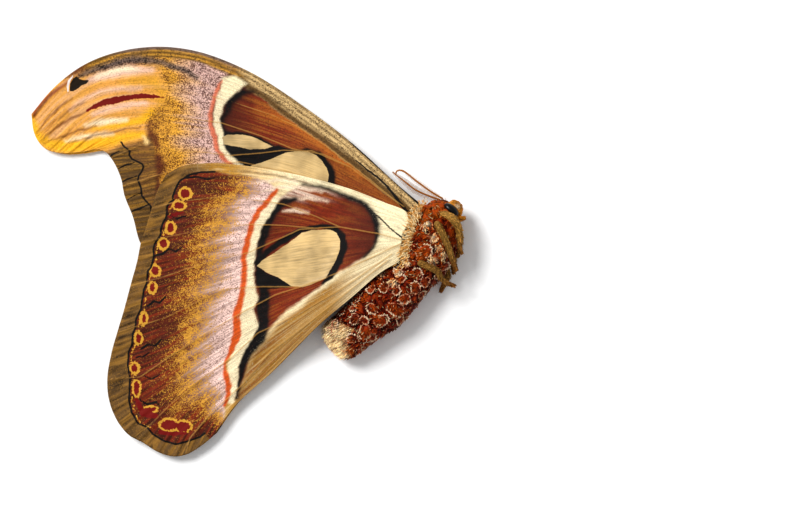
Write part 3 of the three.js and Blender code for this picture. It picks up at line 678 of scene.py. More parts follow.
def between(rows, share):
    """The row at each share, from 0 at the first row to 1 at the last."""
    last = len(rows) - 1
    step = np.clip(share, 0, 1) * last
    low = np.clip(step.astype(int), 0, last - 1)
    rest = (step - low)[:, None]
    return rows[low] * (1 - rest) + rows[low + 1] * rest


def resample(curve, steps):
    along = np.concatenate([[0], np.cumsum(np.linalg.norm(np.diff(curve, axis=0), axis=1))])
    even = np.linspace(0, along[-1], steps + 1)
    return np.stack([np.interp(even, along, curve[:, k]) for k in range(curve.shape[1])], axis=1)


def to_line(plan, line, closed=False):
    """Distance in mm from each place to a line, and the line's half width there."""
    ends = line[1:] if not closed else np.vstack([line[1:], line[:1]])
    distance = np.full(len(plan), 1e9)
    width = np.zeros(len(plan))
    for a, b in zip(line, ends):
        ab = b[:2] - a[:2]
        share = np.clip((plan - a[:2]) @ ab / max(ab @ ab, 1e-9), 0, 1)
        reach = np.hypot(*(plan - a[:2] - share[:, None] * ab).T)
        nearer = reach < distance
        distance = np.where(nearer, reach, distance)
        width = np.where(nearer, a[2] + share * (b[2] - a[2]), width)
    return distance, width


def depth_inside(plan, outline):
    """How far each place lies inside a closed outline, in mm, negative outside."""
    x, y = plan.T
    inside = np.zeros(len(plan), bool)
    for a, b in zip(outline, np.vstack([outline[1:], outline[:1]])):
        crosses = (a[1] > y) != (b[1] > y)
        rise = b[1] - a[1] if b[1] != a[1] else 1e-9
        inside ^= crosses & (x < (b[0] - a[0]) * (y - a[1]) / rise + a[0])
    distance, _ = to_line(plan, outline, closed=True)
    return np.where(inside, distance, -distance)


def grain(plan, size, seed):
    """Smooth noise from -1 to 1 at each place, with features of about size mm."""
    shift = Vector((seed * 17.3, seed * 5.1, seed * 9.7))
    return np.array([noise.noise(Vector((x / size, y / size, 0)) + shift) for x, y in plan])


MARKS = ("dark", "pale", "red", "window", "vein", "white")
OUTSIDE = -3.0


class Painter:
    """Colours and crisp marks of one wing at each vertex of its grid."""

    def __init__(self, plan, s, t, colour):
        count = len(plan)
        wobble = np.stack([grain(plan, 1.6, 1), grain(plan, 1.6, 2)], axis=1)
        wide = np.stack([grain(plan, 6, 3), grain(plan, 6, 4)], axis=1)
        self.plain = plan
        self.plan = plan + 0.35 * wobble + 0.5 * wide
        self.s, self.t = s, t
        self.x = plan[:, 0] / PIXEL + THORAX_PIXEL[0]
        self.y = THORAX_PIXEL[1] - plan[:, 1] / PIXEL
        self.ground = np.tile(np.array(colour, float), (count, 1))
        self.dust = np.tile(np.array(colour, float), (count, 1))
        self.density = np.zeros(count)
        self.marks = {name: np.full(count, OUTSIDE) for name in MARKS}

    def streaks(self, across, along, seed):
        """Smooth noise from -1 to 1 drawn out along the veins."""
        places = np.stack([self.s * LIE_WIDTH / across, self.t * LIE_LENGTH / along], axis=1)
        return 1.6 * grain(places, 1, seed)

    def fade(self, x=None, y=None):
        """From 0 to 1 across the picture, down it, or both, between two places each."""
        share = smoothstep(*x, self.x) if x else 1
        return share * smoothstep(*y, self.y) if y else share

    def within(self, outline, soft):
        return smoothstep(-soft, soft, depth_inside(self.plan, outline))

    def cover(self, share):
        """Takes the specks away where share is 1."""
        self.density = self.density * (1 - share)

    def mix(self, share, colour):
        share = np.clip(share, 0, 1)[:, None]
        self.ground += share * (np.array(colour) - self.ground)

    def vary(self, mask, noise_field, darker, lighter, strength=0.5):
        """Darker and lighter streaks where mask is 1."""
        self.mix(mask * strength * smoothstep(0, 0.6, noise_field), darker)
        self.mix(mask * strength * smoothstep(0, 0.6, -noise_field), lighter)

    def steps(self, mask, place, steps):
        """Colours the masked field by place, from (place, colour) steps."""
        places = [step[0] for step in steps]
        colours = np.array([step[1] for step in steps])
        found = np.stack([np.interp(place, places, colours[:, k]) for k in range(3)], axis=1)
        self.ground += np.clip(mask, 0, 1)[:, None] * (found - self.ground)

    def fill(self, outline, colour, soft=0.4, share=1.0):
        mask = self.within(plan_of(outline), soft)
        self.mix(share * mask, colour)
        return mask

    def strokes(self, lines, colour, soft=0.4, share=1.0):
        for line in lines:
            self.stroke(line, colour, soft, share)

    def stroke(self, line, colour, soft=0.4, share=1.0):
        distance, width = to_line(self.plan, plan_of(line))
        mask = smoothstep(-soft, soft, width - distance)
        self.mix(share * mask, colour)
        return mask

    def sprinkle(self, share, colour, density):
        """Specks of a colour, as dense as given where share is 1."""
        share = np.clip(share, 0, 1)
        self.dust += share[:, None] * (np.array(colour) - self.dust)
        self.density += share * (density - self.density)

    def mark(self, name, line, width=None, wander=0.5):
        """A crisp line for the material to draw, wandering a little off its course."""
        plan = self.plain + wander * (self.plan - self.plain)
        distance, given = to_line(plan, plan_of(line))
        reach = (given if width is None else width * PIXEL) - distance
        self.marks[name] = np.maximum(self.marks[name], reach)

    def lines(self, name, lines, width=None, wander=0.5):
        for line in lines:
            self.mark(name, line, width, wander)

    def area(self, name, outline, wander=0.3):
        """A crisp area for the material to draw."""
        plan = self.plain + wander * (self.plan - self.plain)
        self.marks[name] = np.maximum(self.marks[name], depth_inside(plan, plan_of(outline)))

    def spot(self, name, x, y, across, tall):
        centre = plan_of([(x, y)])[0, :2]
        off = (self.plan - centre) / (np.array([across, tall]) * PIXEL)
        reach = (1 - np.hypot(*off.T)) * min(across, tall) * PIXEL
        self.marks[name] = np.maximum(self.marks[name], reach)


def closed_by(line, corners):
    return np.vstack([plan_of(line), plan_of(corners)])


def share_between(plan, first, second):
    """0 on the first line, 1 on the second, in between by nearness."""
    one, _ = to_line(plan, plan_of(first))
    two, _ = to_line(plan, plan_of(second))
    return one / np.maximum(one + two, 1e-6)


def wing_hues(settings):
    names = ("cream", "gold", "olive", "rust", "maroon", "pink", "orange", "black", "lobe", "crimson")
    return colours_of(settings, *names)


def paint_hindwing(plan, s, t, settings):
    cream, gold, olive, rust, maroon, pink, orange, black, _, _ = wing_hues(settings)
    paint = Painter(plan, s, t, cream)
    fine, broad = paint.streaks(0.8, 10, 11), paint.streaks(3.5, 24, 12)
    everywhere = np.ones(len(plan))
    brown = 0.6 * rust + 0.4 * olive
    tan = 0.4 * gold + 0.6 * olive

    # Costal strip: cream at the root, gold, then olive towards the tip
    strip = [(0, cream), (0.45, cream), (0.62, 0.5 * cream + 0.5 * gold), (0.76, 0.8 * gold), (1, olive)]
    paint.steps(everywhere, (STRIP_START - paint.x) / STRIP_LENGTH, strip)
    paint.vary(everywhere, fine, 0.6 * olive + 0.2 * cream, cream, 0.3)

    # Field outside the median band: maroon behind the margin, brown under golden specks, pink white
    mask = paint.within(closed_by(MEDIAN_BAND, FIELD_CORNERS), 0.5)
    place = share_between(paint.plan, SCALLOPS, MEDIAN_BAND) + 0.1 * broad + 0.05 * fine
    mauve = 0.45 * pink + 0.3 * maroon
    paint.steps(mask, place, [
        (0, 0.7 * maroon), (0.2, maroon), (0.36, 0.6 * maroon + 0.3 * brown), (0.5, 0.8 * brown),
        (0.64, 0.5 * brown + 0.35 * mauve), (0.76, mauve), (0.86, 0.9 * pink), (1, 1.0 * pink),
    ])
    paint.vary(mask * smoothstep(0.55, 0.35, place), fine, 0.35 * maroon, 1.3 * rust, 0.6)
    paint.vary(mask * smoothstep(0.6, 0.8, place), fine, 0.8 * mauve, 1.15 * pink, 0.65)
    golden = np.interp(place, GOLDEN_PLACES, GOLDEN_DENSITIES)
    paint.sprinkle(mask, 1.12 * gold, 0)
    paint.sprinkle(mask * smoothstep(0.74, 0.86, place), 0.6 * maroon + 0.15 * pink, 0)
    paint.density = np.where(mask > 0.5, golden, paint.density)

    # Margin band outside the scalloped line, creased across: dark streaks across it are painted shade in its
    # creases, and it grows darker towards its outer edge
    margin = smoothstep(-0.15, 0.15, -depth_inside(paint.plain, closed_by(SCALLOPS, MARGIN_CORNERS)))
    margin = margin * (1 - paint.fade(**MARGIN_FADE))
    edge, _ = to_line(plan, plan_of(SCALLOPS))
    paint.mix(margin, olive)
    paint.vary(margin, paint.streaks(1.4, 9, 14), 0.35 * olive, 0.4 * gold + 0.5 * olive, 0.6)
    # Painted shade: dark streaks across the margin stand for the shade in its creases
    paint.mix(margin * smoothstep(0.35, 0.6, paint.streaks(1.1, 7, 17)) * 0.7, 0.15 * olive)
    paint.mix(margin * smoothstep(2.5, 8, edge) * 0.5, 0.4 * olive)
    paint.sprinkle(margin, 0.5 * gold + 0.5 * olive, 0.12)

    # Median field: rust, darker towards the basal line, with a pale crinkled patch at the front, lightened as
    # a painted highlight on its crinkles
    inside = paint.fill(MEDIAN_FIELD, rust, 0.7)
    paint.sprinkle(inside, 0.6 * maroon, 0.06)
    paint.vary(inside, fine, 0.8 * maroon, 0.72 * rust + 0.25 * gold, 0.5)
    paint.mix(inside * 0.75 * paint.fade(**BASAL_FADE), 0.7 * maroon)
    paint.mix(inside * 0.6 * paint.fade(**BAND_FADE), 0.6 * maroon)
    # Painted highlight: the crinkled patch and its crinkle lines are lightened as the shine on its folds
    pale = inside * paint.fade(**CRINKLE_FADE)
    paint.mix(pale * smoothstep(-0.5, 0.3, fine), 0.6 * pink + 0.3 * cream)
    paint.strokes(CRINKLE_HIGHLIGHTS, 0.5 * pink + 0.5 * cream, 0.6, 0.8)
    stripe = paint.fill(ANAL_STRIPE, tan, 1.2)
    paint.cover(stripe)
    paint.mix(stripe * paint.fade(**STRIPE_CREAM_FADE), cream)
    paint.mix(stripe * 0.6 * paint.fade(**STRIPE_BROWN_FADE) * smoothstep(0.2, -0.5, broad), brown)
    lengthwise = paint.streaks(0.5, 26, 15)
    paint.vary(stripe, lengthwise, 0.5 * brown + 0.25 * tan, 0.3 * cream + 0.6 * tan, 0.6)

    # Bands, window rims and basal line
    paint.stroke(BAND_EDGE, 0.4 * maroon, 2.2, 0.8)
    paint.stroke(BAND_EDGE, black, 0.6)
    white = paint.stroke(WHITE_BAND, 0.82 * cream + 0.1 * pink, 0.4)
    paint.vary(white, fine, 0.6 * cream, cream, 0.4)
    band = paint.stroke(MEDIAN_BAND, orange, 0.35)
    paint.vary(band, fine, 0.75 * orange, 1.1 * orange, 0.5)
    paint.cover(0.9 * np.maximum(white, band))
    rims = np.maximum(paint.stroke(WINDOW_RIM, black, 0.35), paint.fill(WINDOW_FOOT, black, 0.3))
    paint.stroke(BASAL_LINE, 0.4 * maroon, 2.0, 0.7)
    rims = np.maximum(rims, paint.stroke(BASAL_LINE, black, 0.6))
    paint.cover(rims)
    paint.area("window", WINDOW)

    # Marks the material draws sharply
    paint.mark("dark", SCALLOPS, 1.0, 0.2)
    right, down = BORDER_SHIFT
    for first, last in GOLDEN_BORDERS:
        paint.mark("pale", [(a + right, b + down) for a, b in SCALLOPS[first:last]], 0.5, 0.6)
    for a, b, across, tall in MARGIN_SPOTS:
        paint.spot("pale", a, b, across + SPOT_RIM[0], tall + SPOT_RIM[1])
        paint.spot("red", a, b, across, tall)
    paint.lines("red", SPOT_STREAKS)
    paint.stroke(COSTAL_STREAK, 0.5 * brown, 0.3, 0.7)
    # Painted shade in the wrinkles, and the dark basal vein
    paint.lines("dark", WRINKLE_SHADOWS + [BASAL_VEIN])
    paint.lines("vein", HINDWING_VEINS, 0.6, 0.1)
    return paint


def paint_forewing(plan, s, t, settings):
    cream, gold, olive, rust, maroon, pink, orange, black, lobe, crimson = wing_hues(settings)
    paint = Painter(plan, s, t, rust)
    fine, broad = paint.streaks(0.8, 10, 11), paint.streaks(4, 24, 12)
    everywhere = np.ones(len(plan))
    brown = 0.6 * rust + 0.4 * olive
    grey = 0.55 * black + 0.3 * pink

    # Median field: maroon beside the bands, rust with warm streaks towards the root
    paint.mix(0.5 * paint.fade(**ROOT_FADE), 0.7 * rust + 0.3 * gold)
    paint.vary(everywhere, fine, maroon, 0.6 * rust + 0.4 * gold, 0.55)
    paint.stroke(ORANGE_STREAK, 0.5 * orange + 0.4 * gold, 1.6, 0.55)
    paint.mix(0.85 * paint.fade(**FORE_BAND_FADE), 0.6 * maroon)
    paint.sprinkle(everywhere, 0.6 * maroon, 0.08)

    # Outer half: golden brown with dark specks, then pink with darker ones against the band
    mask = paint.within(closed_by(FORE_MEDIAN_BAND, OUTER_CORNERS), 0.5)
    place = (paint.x - OUTER_START) / OUTER_LENGTH + 0.16 * broad + 0.05 * fine
    paint.steps(mask, place, [
        (-0.1, 0.6 * olive + 0.4 * rust), (0.1, 0.75 * gold + 0.3 * brown), (0.4, 1.15 * gold),
        (0.62, 0.6 * gold + 0.35 * pink), (0.9, 0.72 * pink + 0.1 * orange),
    ])
    paint.sprinkle(mask, 0.7 * maroon, 0.42)
    paint.sprinkle(mask * smoothstep(0.5, 0.85, place), 0.6 * maroon + 0.5 * black, 0.44)

    # Margin under the lobe, with its maroon patches and wavy line
    under = paint.within(plan_of(UNDER_LOBE), 0.6)
    paint.mix(under, 0.85 * olive + 0.15 * rust)
    rim = smoothstep(-0.3, 0.3, depth_inside(paint.plain, closed_by(FORE_ZIGZAG, RIM_CORNERS)))
    paint.mix(rim, 0.75 * olive)
    paint.vary(np.maximum(under, rim), paint.streaks(0.9, 12, 14), 0.4 * olive, 0.6 * gold, 0.6)
    paint.sprinkle(under, 0.5 * olive, 0.15)
    paint.strokes(FORE_MAROON, 0.9 * maroon, 0.9, 0.85)
    paint.mark("dark", FORE_ZIGZAG, 0.9, 0.3)

    # Tip lobe: peach with yellow, pink and white bands, and painted shade in its fanned folds
    peach = 0.62 * lobe + 0.12 * pink + 0.2 * orange
    tip = paint.fill(LOBE_FIELD, peach, 1.4)
    paint.cover(tip)
    fan = paint.streaks(1.6, 30, 16)
    paint.vary(tip, fan, 0.8 * peach + 0.1 * orange, 0.5 * peach + 0.4 * pink, 0.5)
    paint.strokes(LOBE_YELLOW, lobe, 1.1, 0.95)
    paint.strokes(LOBE_PINK, 1.02 * pink, 1.1, 0.65)
    paint.strokes(LOBE_WHITE, 0.8 * cream + 0.2 * pink, 0.9, 0.9)
    # Painted shade: darker strokes along the lobe's folds
    paint.strokes(LOBE_FOLD_SHADOWS, 0.5 * rust + 0.1 * gold, 0.45, 0.85)
    paint.stroke(TIP_GOLD, 0.6 * lobe + 0.3 * gold, 2.2, 0.75)
    paint.stroke(LOBE_NICK, 0.5 * lobe + 0.5 * cream, 0.8)
    paint.stroke(RED_EDGE, crimson, 0.7, 0.8)

    # Costal band: tan with fine stripes along the front edge
    costal = paint.fill(COSTAL_BORDER, 0.36 * gold + 0.3 * cream + 0.3 * olive, 0.4)
    border, _ = to_line(plan, plan_of(COSTAL_BORDER[:COSTAL_LINE_POINTS]))
    front, _ = to_line(plan, np.pad(np.array(FOREWING_LINES[0]), ((0, 0), (0, 1))))
    paint.vary(costal, np.sin(front * COSTAL_STRIPES) + fine, 0.55 * olive, 0.5 * gold + 0.4 * cream, 0.55)
    paint.mix(costal * smoothstep(2.4, 1.2, border), 0.75 * olive)
    paint.sprinkle(costal, 0.35 * olive, 0.24)
    end = paint.fade(**SHOULDER_END_FADE)
    shoulder = smoothstep(3.4, 2.6, front) * paint.fade(**SHOULDER_FADE) * end
    paint.mix(shoulder, 0.5 * gold + 0.35 * olive)
    paint.vary(shoulder, np.sin(front * SHOULDER_STRIPES) + 0.5 * fine, 0.5 * olive, gold, 0.7)
    paint.mix(smoothstep(1.0, 0.4, front) * paint.fade(**FRONT_FADE) * end * 0.8, 0.7 * grey)
    paint.sprinkle(shoulder, 0.4 * olive, 0.25)
    dusting = paint.stroke(GREY_DUSTING, 0.6 * grey, 0.7, 0.85)
    paint.sprinkle(dusting, black, 0.5)

    # Bands and windows
    dark = paint.fill(FORE_WINDOW_DARK, black, 0.5)
    paint.cover(dark)
    paint.stroke(FORE_BAND_EDGE, black, 1.0)
    white = paint.stroke(FORE_WHITE_BAND, 0.8 * cream + 0.12 * pink, 0.45)
    white = np.maximum(white, paint.fill(CREAM_WEDGE, cream, 0.6))
    paint.vary(white, fine, 0.65 * cream, cream, 0.4)
    band = paint.stroke(FORE_MEDIAN_BAND, 0.85 * orange + 0.15 * pink, 0.4, 0.95)
    paint.cover(0.9 * np.maximum(white, band))
    for outline in FORE_WINDOWS:
        paint.area("window", outline)

    # Marks the material draws sharply
    paint.mark("red", CRIMSON_SLASH, None, 0.4)
    paint.area("dark", EYESPOT)
    paint.mark("white", EYESPOT_CRESCENT, None, 0.2)
    # Painted shade in the creases, and the dark costal line
    paint.lines("dark", FORE_CREASE_SHADOWS + [COSTAL_DARK])
    paint.mark("dark", COSTAL_EDGE, None, 0.1)
    paint.lines("vein", FOREWING_VEINS, 0.55, 0.1)
    return paint


class WingMap:
    """Places on a wing: s runs round the outer margin from the front edge, t from root to margin."""

    LINE_STEPS = 200
    EDGE_STEPS = 800

    def __init__(self, lines, margin, scale=1.0):
        self.lines = np.stack([centripetal(line, self.LINE_STEPS) for line in lines]) * scale
        self.edge = centripetal(margin, self.EDGE_STEPS) * scale
        tips = self.lines[:, -1]
        nearest = [int(np.argmin(np.hypot(*(self.edge - tip).T))) for tip in tips]
        self.shares = np.array(nearest) / self.EDGE_STEPS
        self.shares[0], self.shares[-1] = 0, 1

    def place(self, s, t):
        first = np.clip(np.searchsorted(self.shares, s, side="right") - 1, 0, len(self.shares) - 2)
        span = self.shares[first + 1] - self.shares[first]
        across = np.clip((s - self.shares[first]) / span, 0, 1)[:, None]
        step = t * self.LINE_STEPS
        low = np.clip(step.astype(int), 0, self.LINE_STEPS - 1)
        rest = (step - low)[:, None]

        def on_line(index):
            return self.lines[index, low] * (1 - rest) + self.lines[index, low + 1] * rest

        point = on_line(first) * (1 - across) + on_line(first + 1) * across
        straight = self.lines[first, -1] * (1 - across) + self.lines[first + 1, -1] * across
        return point + (t[:, None] ** 3) * (between(self.edge, s) - straight)


def middle_height(x, y):
    reach = np.hypot(x / SLOPE[0], y / SLOPE[1])
    return BODY_MID_HEIGHT + (WING_STACK_HEIGHT - BODY_MID_HEIGHT) * smoothstep(0, SLOPE[2], reach)


def near_body(x, y):
    (ax, ay), (bx, by) = BACK_LINE
    length = math.hypot(bx - ax, by - ay)
    along = ((x - ax) * (bx - ax) + (y - ay) * (by - ay)) / length
    across = ((x - ax) * (by - ay) - (y - ay) * (bx - ax)) / length
    past = along - np.clip(along, 0, length)
    return np.exp(-((np.hypot(past, np.maximum(across, 0)) / SPREAD_REACH) ** 2))


def wing_relief(plan, s, t, veins, settings):
    """Height of veins, folds and marginal creases over the smooth wing, in mm."""
    rise = settings.vein_rise / MM
    depth = settings.crease_depth / MM
    height = np.zeros(len(plan))
    for line in veins:
        distance, _ = to_line(plan, plan_of(line))
        height = np.maximum(height, rise * np.exp(-((distance / VEIN_WIDTH) ** 2)) * (1.1 - 0.5 * t))
        height -= 0.25 * depth * np.exp(-(((distance - VALLEY_OUT) / VALLEY_WIDTH) ** 2))
    folds = grain(np.stack([s * FOLD_MAP[0], t * FOLD_MAP[1]], axis=1), 2.2, 21)
    height += depth * 0.55 * folds * smoothstep(0.15, 0.8, t)
    creases = grain(np.stack([s * CREASE_MAP[0], t * CREASE_MAP[1]], axis=1), 1.1, 22)
    height += depth * 1.6 * creases * smoothstep(0.88, 0.97, t)
    height += depth * 1.3 * grain(plan, 11, 23) * smoothstep(0.1, 0.4, t)
    height += depth * 0.5 * grain(plan, 3.2, 24)
    return height


def node(tree, kind, settings=(), inputs=(), **links):
    """Adds a shader node, sets its properties and joins or sets its inputs, by place or by name."""
    made = tree.nodes.new(kind)
    for name, value in dict(settings).items():
        setattr(made, name, value)
    for place, value in [*dict(inputs).items(), *links.items()]:
        if isinstance(value, bpy.types.NodeSocket):
            tree.links.new(value, made.inputs[place])
        else:
            made.inputs[place].default_value = value
    return made


def start_material(name, **surface):
    material = bpy.data.materials.new(name)
    material.use_nodes = True
    shader = material.node_tree.nodes["Principled BSDF"]
    for socket, value in surface.items():
        shader.inputs[socket.replace("_", " ")].default_value = value
    return material, material.node_tree, shader


def rgba(colour):
    return (*colour, 1)


def mixed(tree, share, first, second, blend="MIX"):
    settings = {"data_type": "RGBA", "blend_type": blend}
    return node(tree, "ShaderNodeMix", settings, {0: share, 6: first, 7: second}).outputs[2]


def maths(tree, operation, *values, clamp=False):
    settings = {"operation": operation, "use_clamp": clamp}
    return node(tree, "ShaderNodeMath", settings, enumerate(values)).outputs[0]


def attribute(tree, name):
    return node(tree, "ShaderNodeAttribute", {"attribute_name": name})


def noise_field(tree, where, size, **settings):
    """Soft noise from 0 to 1 with features of the given size in mm."""
    return node(tree, "ShaderNodeTexNoise", Vector=where, Scale=1 / (size * MM), **settings).outputs["Fac"]


def grey_tone(tree, tone):
    return node(tree, "ShaderNodeCombineColor", Red=tone, Green=tone, Blue=tone).outputs[0]


def bump_surface(tree, shader, height, strength, depth, invert=False):
    """Bump of the given depth in mm."""
    settings = {"invert": invert}
    bump = node(tree, "ShaderNodeBump", settings, Height=height, Strength=strength, Distance=depth * MM)
    tree.links.new(bump.outputs["Normal"], shader.inputs["Normal"])


# Pattern sizes on the wings, in mm. Real scales are about 0.1 mm wide and are drawn twice as coarse,
# so that they show.
PATCH_SIZE = 2.381
RAGGED_SIZE = 0.5882
CLOUD_SIZE = 7.692
STREAK_WIDTH = 0.5556
STREAK_LENGTH = 10
WING_BUMP = 0.16
VEIN_COLOUR = "#b98b46"
RIM_GOLD = "#dba63c"
CRESCENT_WHITE = "#efe6e2"


def wing_material(hues):
    """Dry membrane under overlapping scales, with bare windows.

    To the eye it is matt and powdery: single coloured scales, dense or thin in patches, fine streaks
    along the veins, and marks with slightly ragged borders. The windows have no scales. They are
    smoother, so they shine a little, and show brown clouds.
    """
    material, tree, shader = start_material("scaled_wing_membrane", Roughness=0.7, Specular_IOR_Level=0.22)
    where = node(tree, "ShaderNodeTexCoord").outputs["Object"]
    ground = attribute(tree, "ground").outputs["Color"]
    dust = attribute(tree, "dust")
    marks, more = (attribute(tree, name).outputs["Vector"] for name in ("marks", "more_marks"))
    dark, pale, red = node(tree, "ShaderNodeSeparateXYZ", Vector=marks).outputs
    window, vein, white = node(tree, "ShaderNodeSeparateXYZ", Vector=more).outputs
    lie = node(tree, "ShaderNodeUVMap", {"uv_map": "Lie"}).outputs["UV"]

    # Single scales: one random value to each cell, thicker in patches
    cells = node(tree, "ShaderNodeTexVoronoi", Vector=where, Scale=1 / hues.speckle)
    speck = node(tree, "ShaderNodeSeparateColor", Color=cells.outputs["Color"]).outputs[0]
    patchy = noise_field(tree, where, PATCH_SIZE, Detail=3.0)
    ragged = noise_field(tree, where, RAGGED_SIZE, Detail=2.0)
    patches = maths(tree, "MULTIPLY_ADD", patchy, 3.0, -0.5)
    density = maths(tree, "MULTIPLY", dust.outputs["Alpha"], patches)
    shown = maths(tree, "MULTIPLY_ADD", maths(tree, "SUBTRACT", density, speck), 4.0, 0.4, clamp=True)
    base = mixed(tree, maths(tree, "MULTIPLY", shown, 0.85), ground, dust.outputs["Color"])

    # Fine streaks that run with the veins, and tone from scale to scale
    stretch = (1 / STREAK_WIDTH, 1 / STREAK_LENGTH, 1.0)
    stretched = node(tree, "ShaderNodeMapping", Vector=lie, Scale=stretch).outputs["Vector"]
    streaks = node(tree, "ShaderNodeTexNoise", Vector=stretched, Scale=1.0, Detail=6.0, Roughness=0.7)
    streak = streaks.outputs["Fac"]
    for field, strength, least in ((streak, 1.5, 0.25), (speck, 0.36, 0.82)):
        tone = maths(tree, "MULTIPLY_ADD", field, strength, least)
        base = mixed(tree, 1.0, base, grey_tone(tree, tone), "MULTIPLY")

    def crisp(field, rough, sharpness=9.0):
        """1 inside a mark and 0 outside, its border ragged by the given number of millimetres."""
        wander = maths(tree, "MULTIPLY_ADD", ragged, 2 * rough, -rough)
        return maths(tree, "MULTIPLY_ADD", maths(tree, "ADD", field, wander), sharpness, 0.5, clamp=True)

    # Windows: bare membrane with brown streaks
    cloud = noise_field(tree, where, CLOUD_SIZE, Detail=2.0)
    shade = maths(tree, "MULTIPLY_ADD", maths(tree, "ADD", streak, cloud), 2.2, -1.75, clamp=True)
    dim, bright = (rgba([c * share for c in hues.window]) for share in (0.55, 1.25))
    bare = crisp(window, 0.15, 6.0)
    base = mixed(tree, bare, base, mixed(tree, shade, dim, bright))
    for field, rough, strength, colour in (
        (pale, 0.7, 0.85, hex_colour(RIM_GOLD)),
        (red, 0.5, 0.99, hues.crimson),
        (white, 0.2, 0.9, hex_colour(CRESCENT_WHITE)),
        (dark, 0.12, 0.98, hues.black),
    ):
        base = mixed(tree, maths(tree, "MULTIPLY", crisp(field, rough), strength), base, rgba(colour))
    ridge = maths(tree, "MULTIPLY", crisp(vein, 0.1, 7.0), 0.5)
    base = mixed(tree, ridge, base, rgba(hex_colour(VEIN_COLOUR)))
    tree.links.new(base, shader.inputs["Base Color"])
    tree.links.new(maths(tree, "MULTIPLY_ADD", bare, -0.35, 0.7), shader.inputs["Roughness"])
    height = maths(tree, "ADD", maths(tree, "MULTIPLY", speck, 0.3), streak)
    bump_surface(tree, shader, height, 0.5, WING_BUMP)
    return material


def store_colour(mesh, name, colours, alpha=None):
    layer = mesh.attributes.new(name, "FLOAT_COLOR", "POINT")
    fourth = np.ones(len(colours)) if alpha is None else alpha
    layer.data.foreach_set("color", np.column_stack([colours, fourth]).astype(np.float32).ravel())


def store_vector(mesh, name, *fields):
    layer = mesh.attributes.new(name, "FLOAT_VECTOR", "POINT")
    layer.data.foreach_set("vector", np.stack(fields, axis=1).astype(np.float32).ravel())


def link_piece(name, mesh, material, replaced, slot):
    """A finished piece: smooth, in its material, riding on the body and standing for solids."""
    piece = bpy.data.objects.new(name, mesh)
    bpy.context.scene.collection.objects.link(piece)
    mesh.materials.append(material)
    mesh.polygons.foreach_set("use_smooth", np.ones(len(mesh.polygons), bool))
    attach(piece, "root")
    if replaced:
        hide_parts(*replaced)
    return piece


def build_wing(name, node_name, lines, margin, veins, painter, layer, cells, settings, material):
    """One wing. layer holds its side, its offset from the middle plane, root spread and lobe drop."""
    side, offset, spread, drop = layer
    scale = 1.0 if side > 0 else LOWER_WING_SCALE
    bm = bmesh.new()
    bmesh.ops.create_grid(bm, x_segments=cells[0], y_segments=cells[1], size=0.5)
    mesh = bpy.data.meshes.new(name)
    bm.to_mesh(mesh)
    bm.free()
    count = len(mesh.vertices)
    flat = np.empty(count * 3)
    mesh.vertices.foreach_get("co", flat)
    s, t = (flat.reshape(-1, 3)[:, :2] + 0.5).T
    plan = WingMap(lines, margin, scale).place(s, t)
    x, y = plan.T
    lift = side * (offset + spread * near_body(x, y))
    lobe = drop * smoothstep(LOBE[0], LOBE[1], y)
    height = middle_height(x, y) + lift - lobe
    height += side * wing_relief(plan / scale, s, t, veins, settings)
    thickness = settings.membrane / MM
    height = np.maximum(height, thickness / 2 + FLOOR_GAP)
    place = np.column_stack([x, y, height]) * MM + np.array(ORIGIN)
    mesh.vertices.foreach_set("co", place.ravel())

    paint = painter(plan / scale, s, t, settings)
    store_colour(mesh, "ground", paint.ground)
    store_colour(mesh, "dust", paint.dust, paint.density)
    store_vector(mesh, "marks", paint.marks["dark"], paint.marks["pale"], paint.marks["red"])
    store_vector(mesh, "more_marks", paint.marks["window"], paint.marks["vein"], paint.marks["white"])
    corners = np.empty(len(mesh.loops), int)
    mesh.loops.foreach_get("vertex_index", corners)
    lie = np.stack([s * LIE_WIDTH, t * LIE_LENGTH], axis=1)[corners]
    mesh.uv_layers.new(name="Lie").data.foreach_set("uv", lie.ravel())
    if side < 0:
        mesh.flip_normals()
    mesh.update()
    piece = link_piece(name, mesh, material, [node_name], "wing")
    solid = piece.modifiers.new("Membrane", "SOLIDIFY")
    solid.thickness = settings.membrane
    solid.offset = 0
    solid.use_even_offset = False
    return piece


class MOTH_OT_wings(bpy.types.Operator):
    """Model the four wings and their markings"""

    bl_idname = "moth.wings"
    bl_label = "Wings"

    def execute(self, context):
        settings = context.scene.moth_wings
        material = wing_material(settings)
        fore = (FOREWING_LINES, FOREWING_MARGIN, FOREWING_VEINS, paint_forewing)
        hind = (HINDWING_LINES, HINDWING_MARGIN, HINDWING_VEINS, paint_hindwing)
        for side_name, side, share in (("right", 1, 1.0), ("left", -1, LEFT_CELL_SHARE)):
            for kind, shape, layer, drop, cells in (
                ("forewing", fore, FORE_LAYER, LOBE[2], FORE_CELLS),
                ("hindwing", hind, HIND_LAYER, 0, HIND_CELLS),
            ):
                counts = [round(number * share) for number in cells]
                build_wing(f"{side_name}_{kind}", f"{kind}_{side_name}", *shape, (side, *layer, drop), counts,
                           settings, material)
        return {"FINISHED"}


def mesh_of(name, points, triangles):
    mesh = bpy.data.meshes.new(name)
    mesh.vertices.add(len(points))
    mesh.vertices.foreach_set("co", (points * MM + np.array(ORIGIN)).ravel())
    mesh.loops.add(triangles.size)
    mesh.loops.foreach_set("vertex_index", triangles.ravel())
    mesh.polygons.add(len(triangles))
    mesh.polygons.foreach_set("loop_start", np.arange(0, triangles.size, 3))
    mesh.update(calc_edges=True)
    return mesh


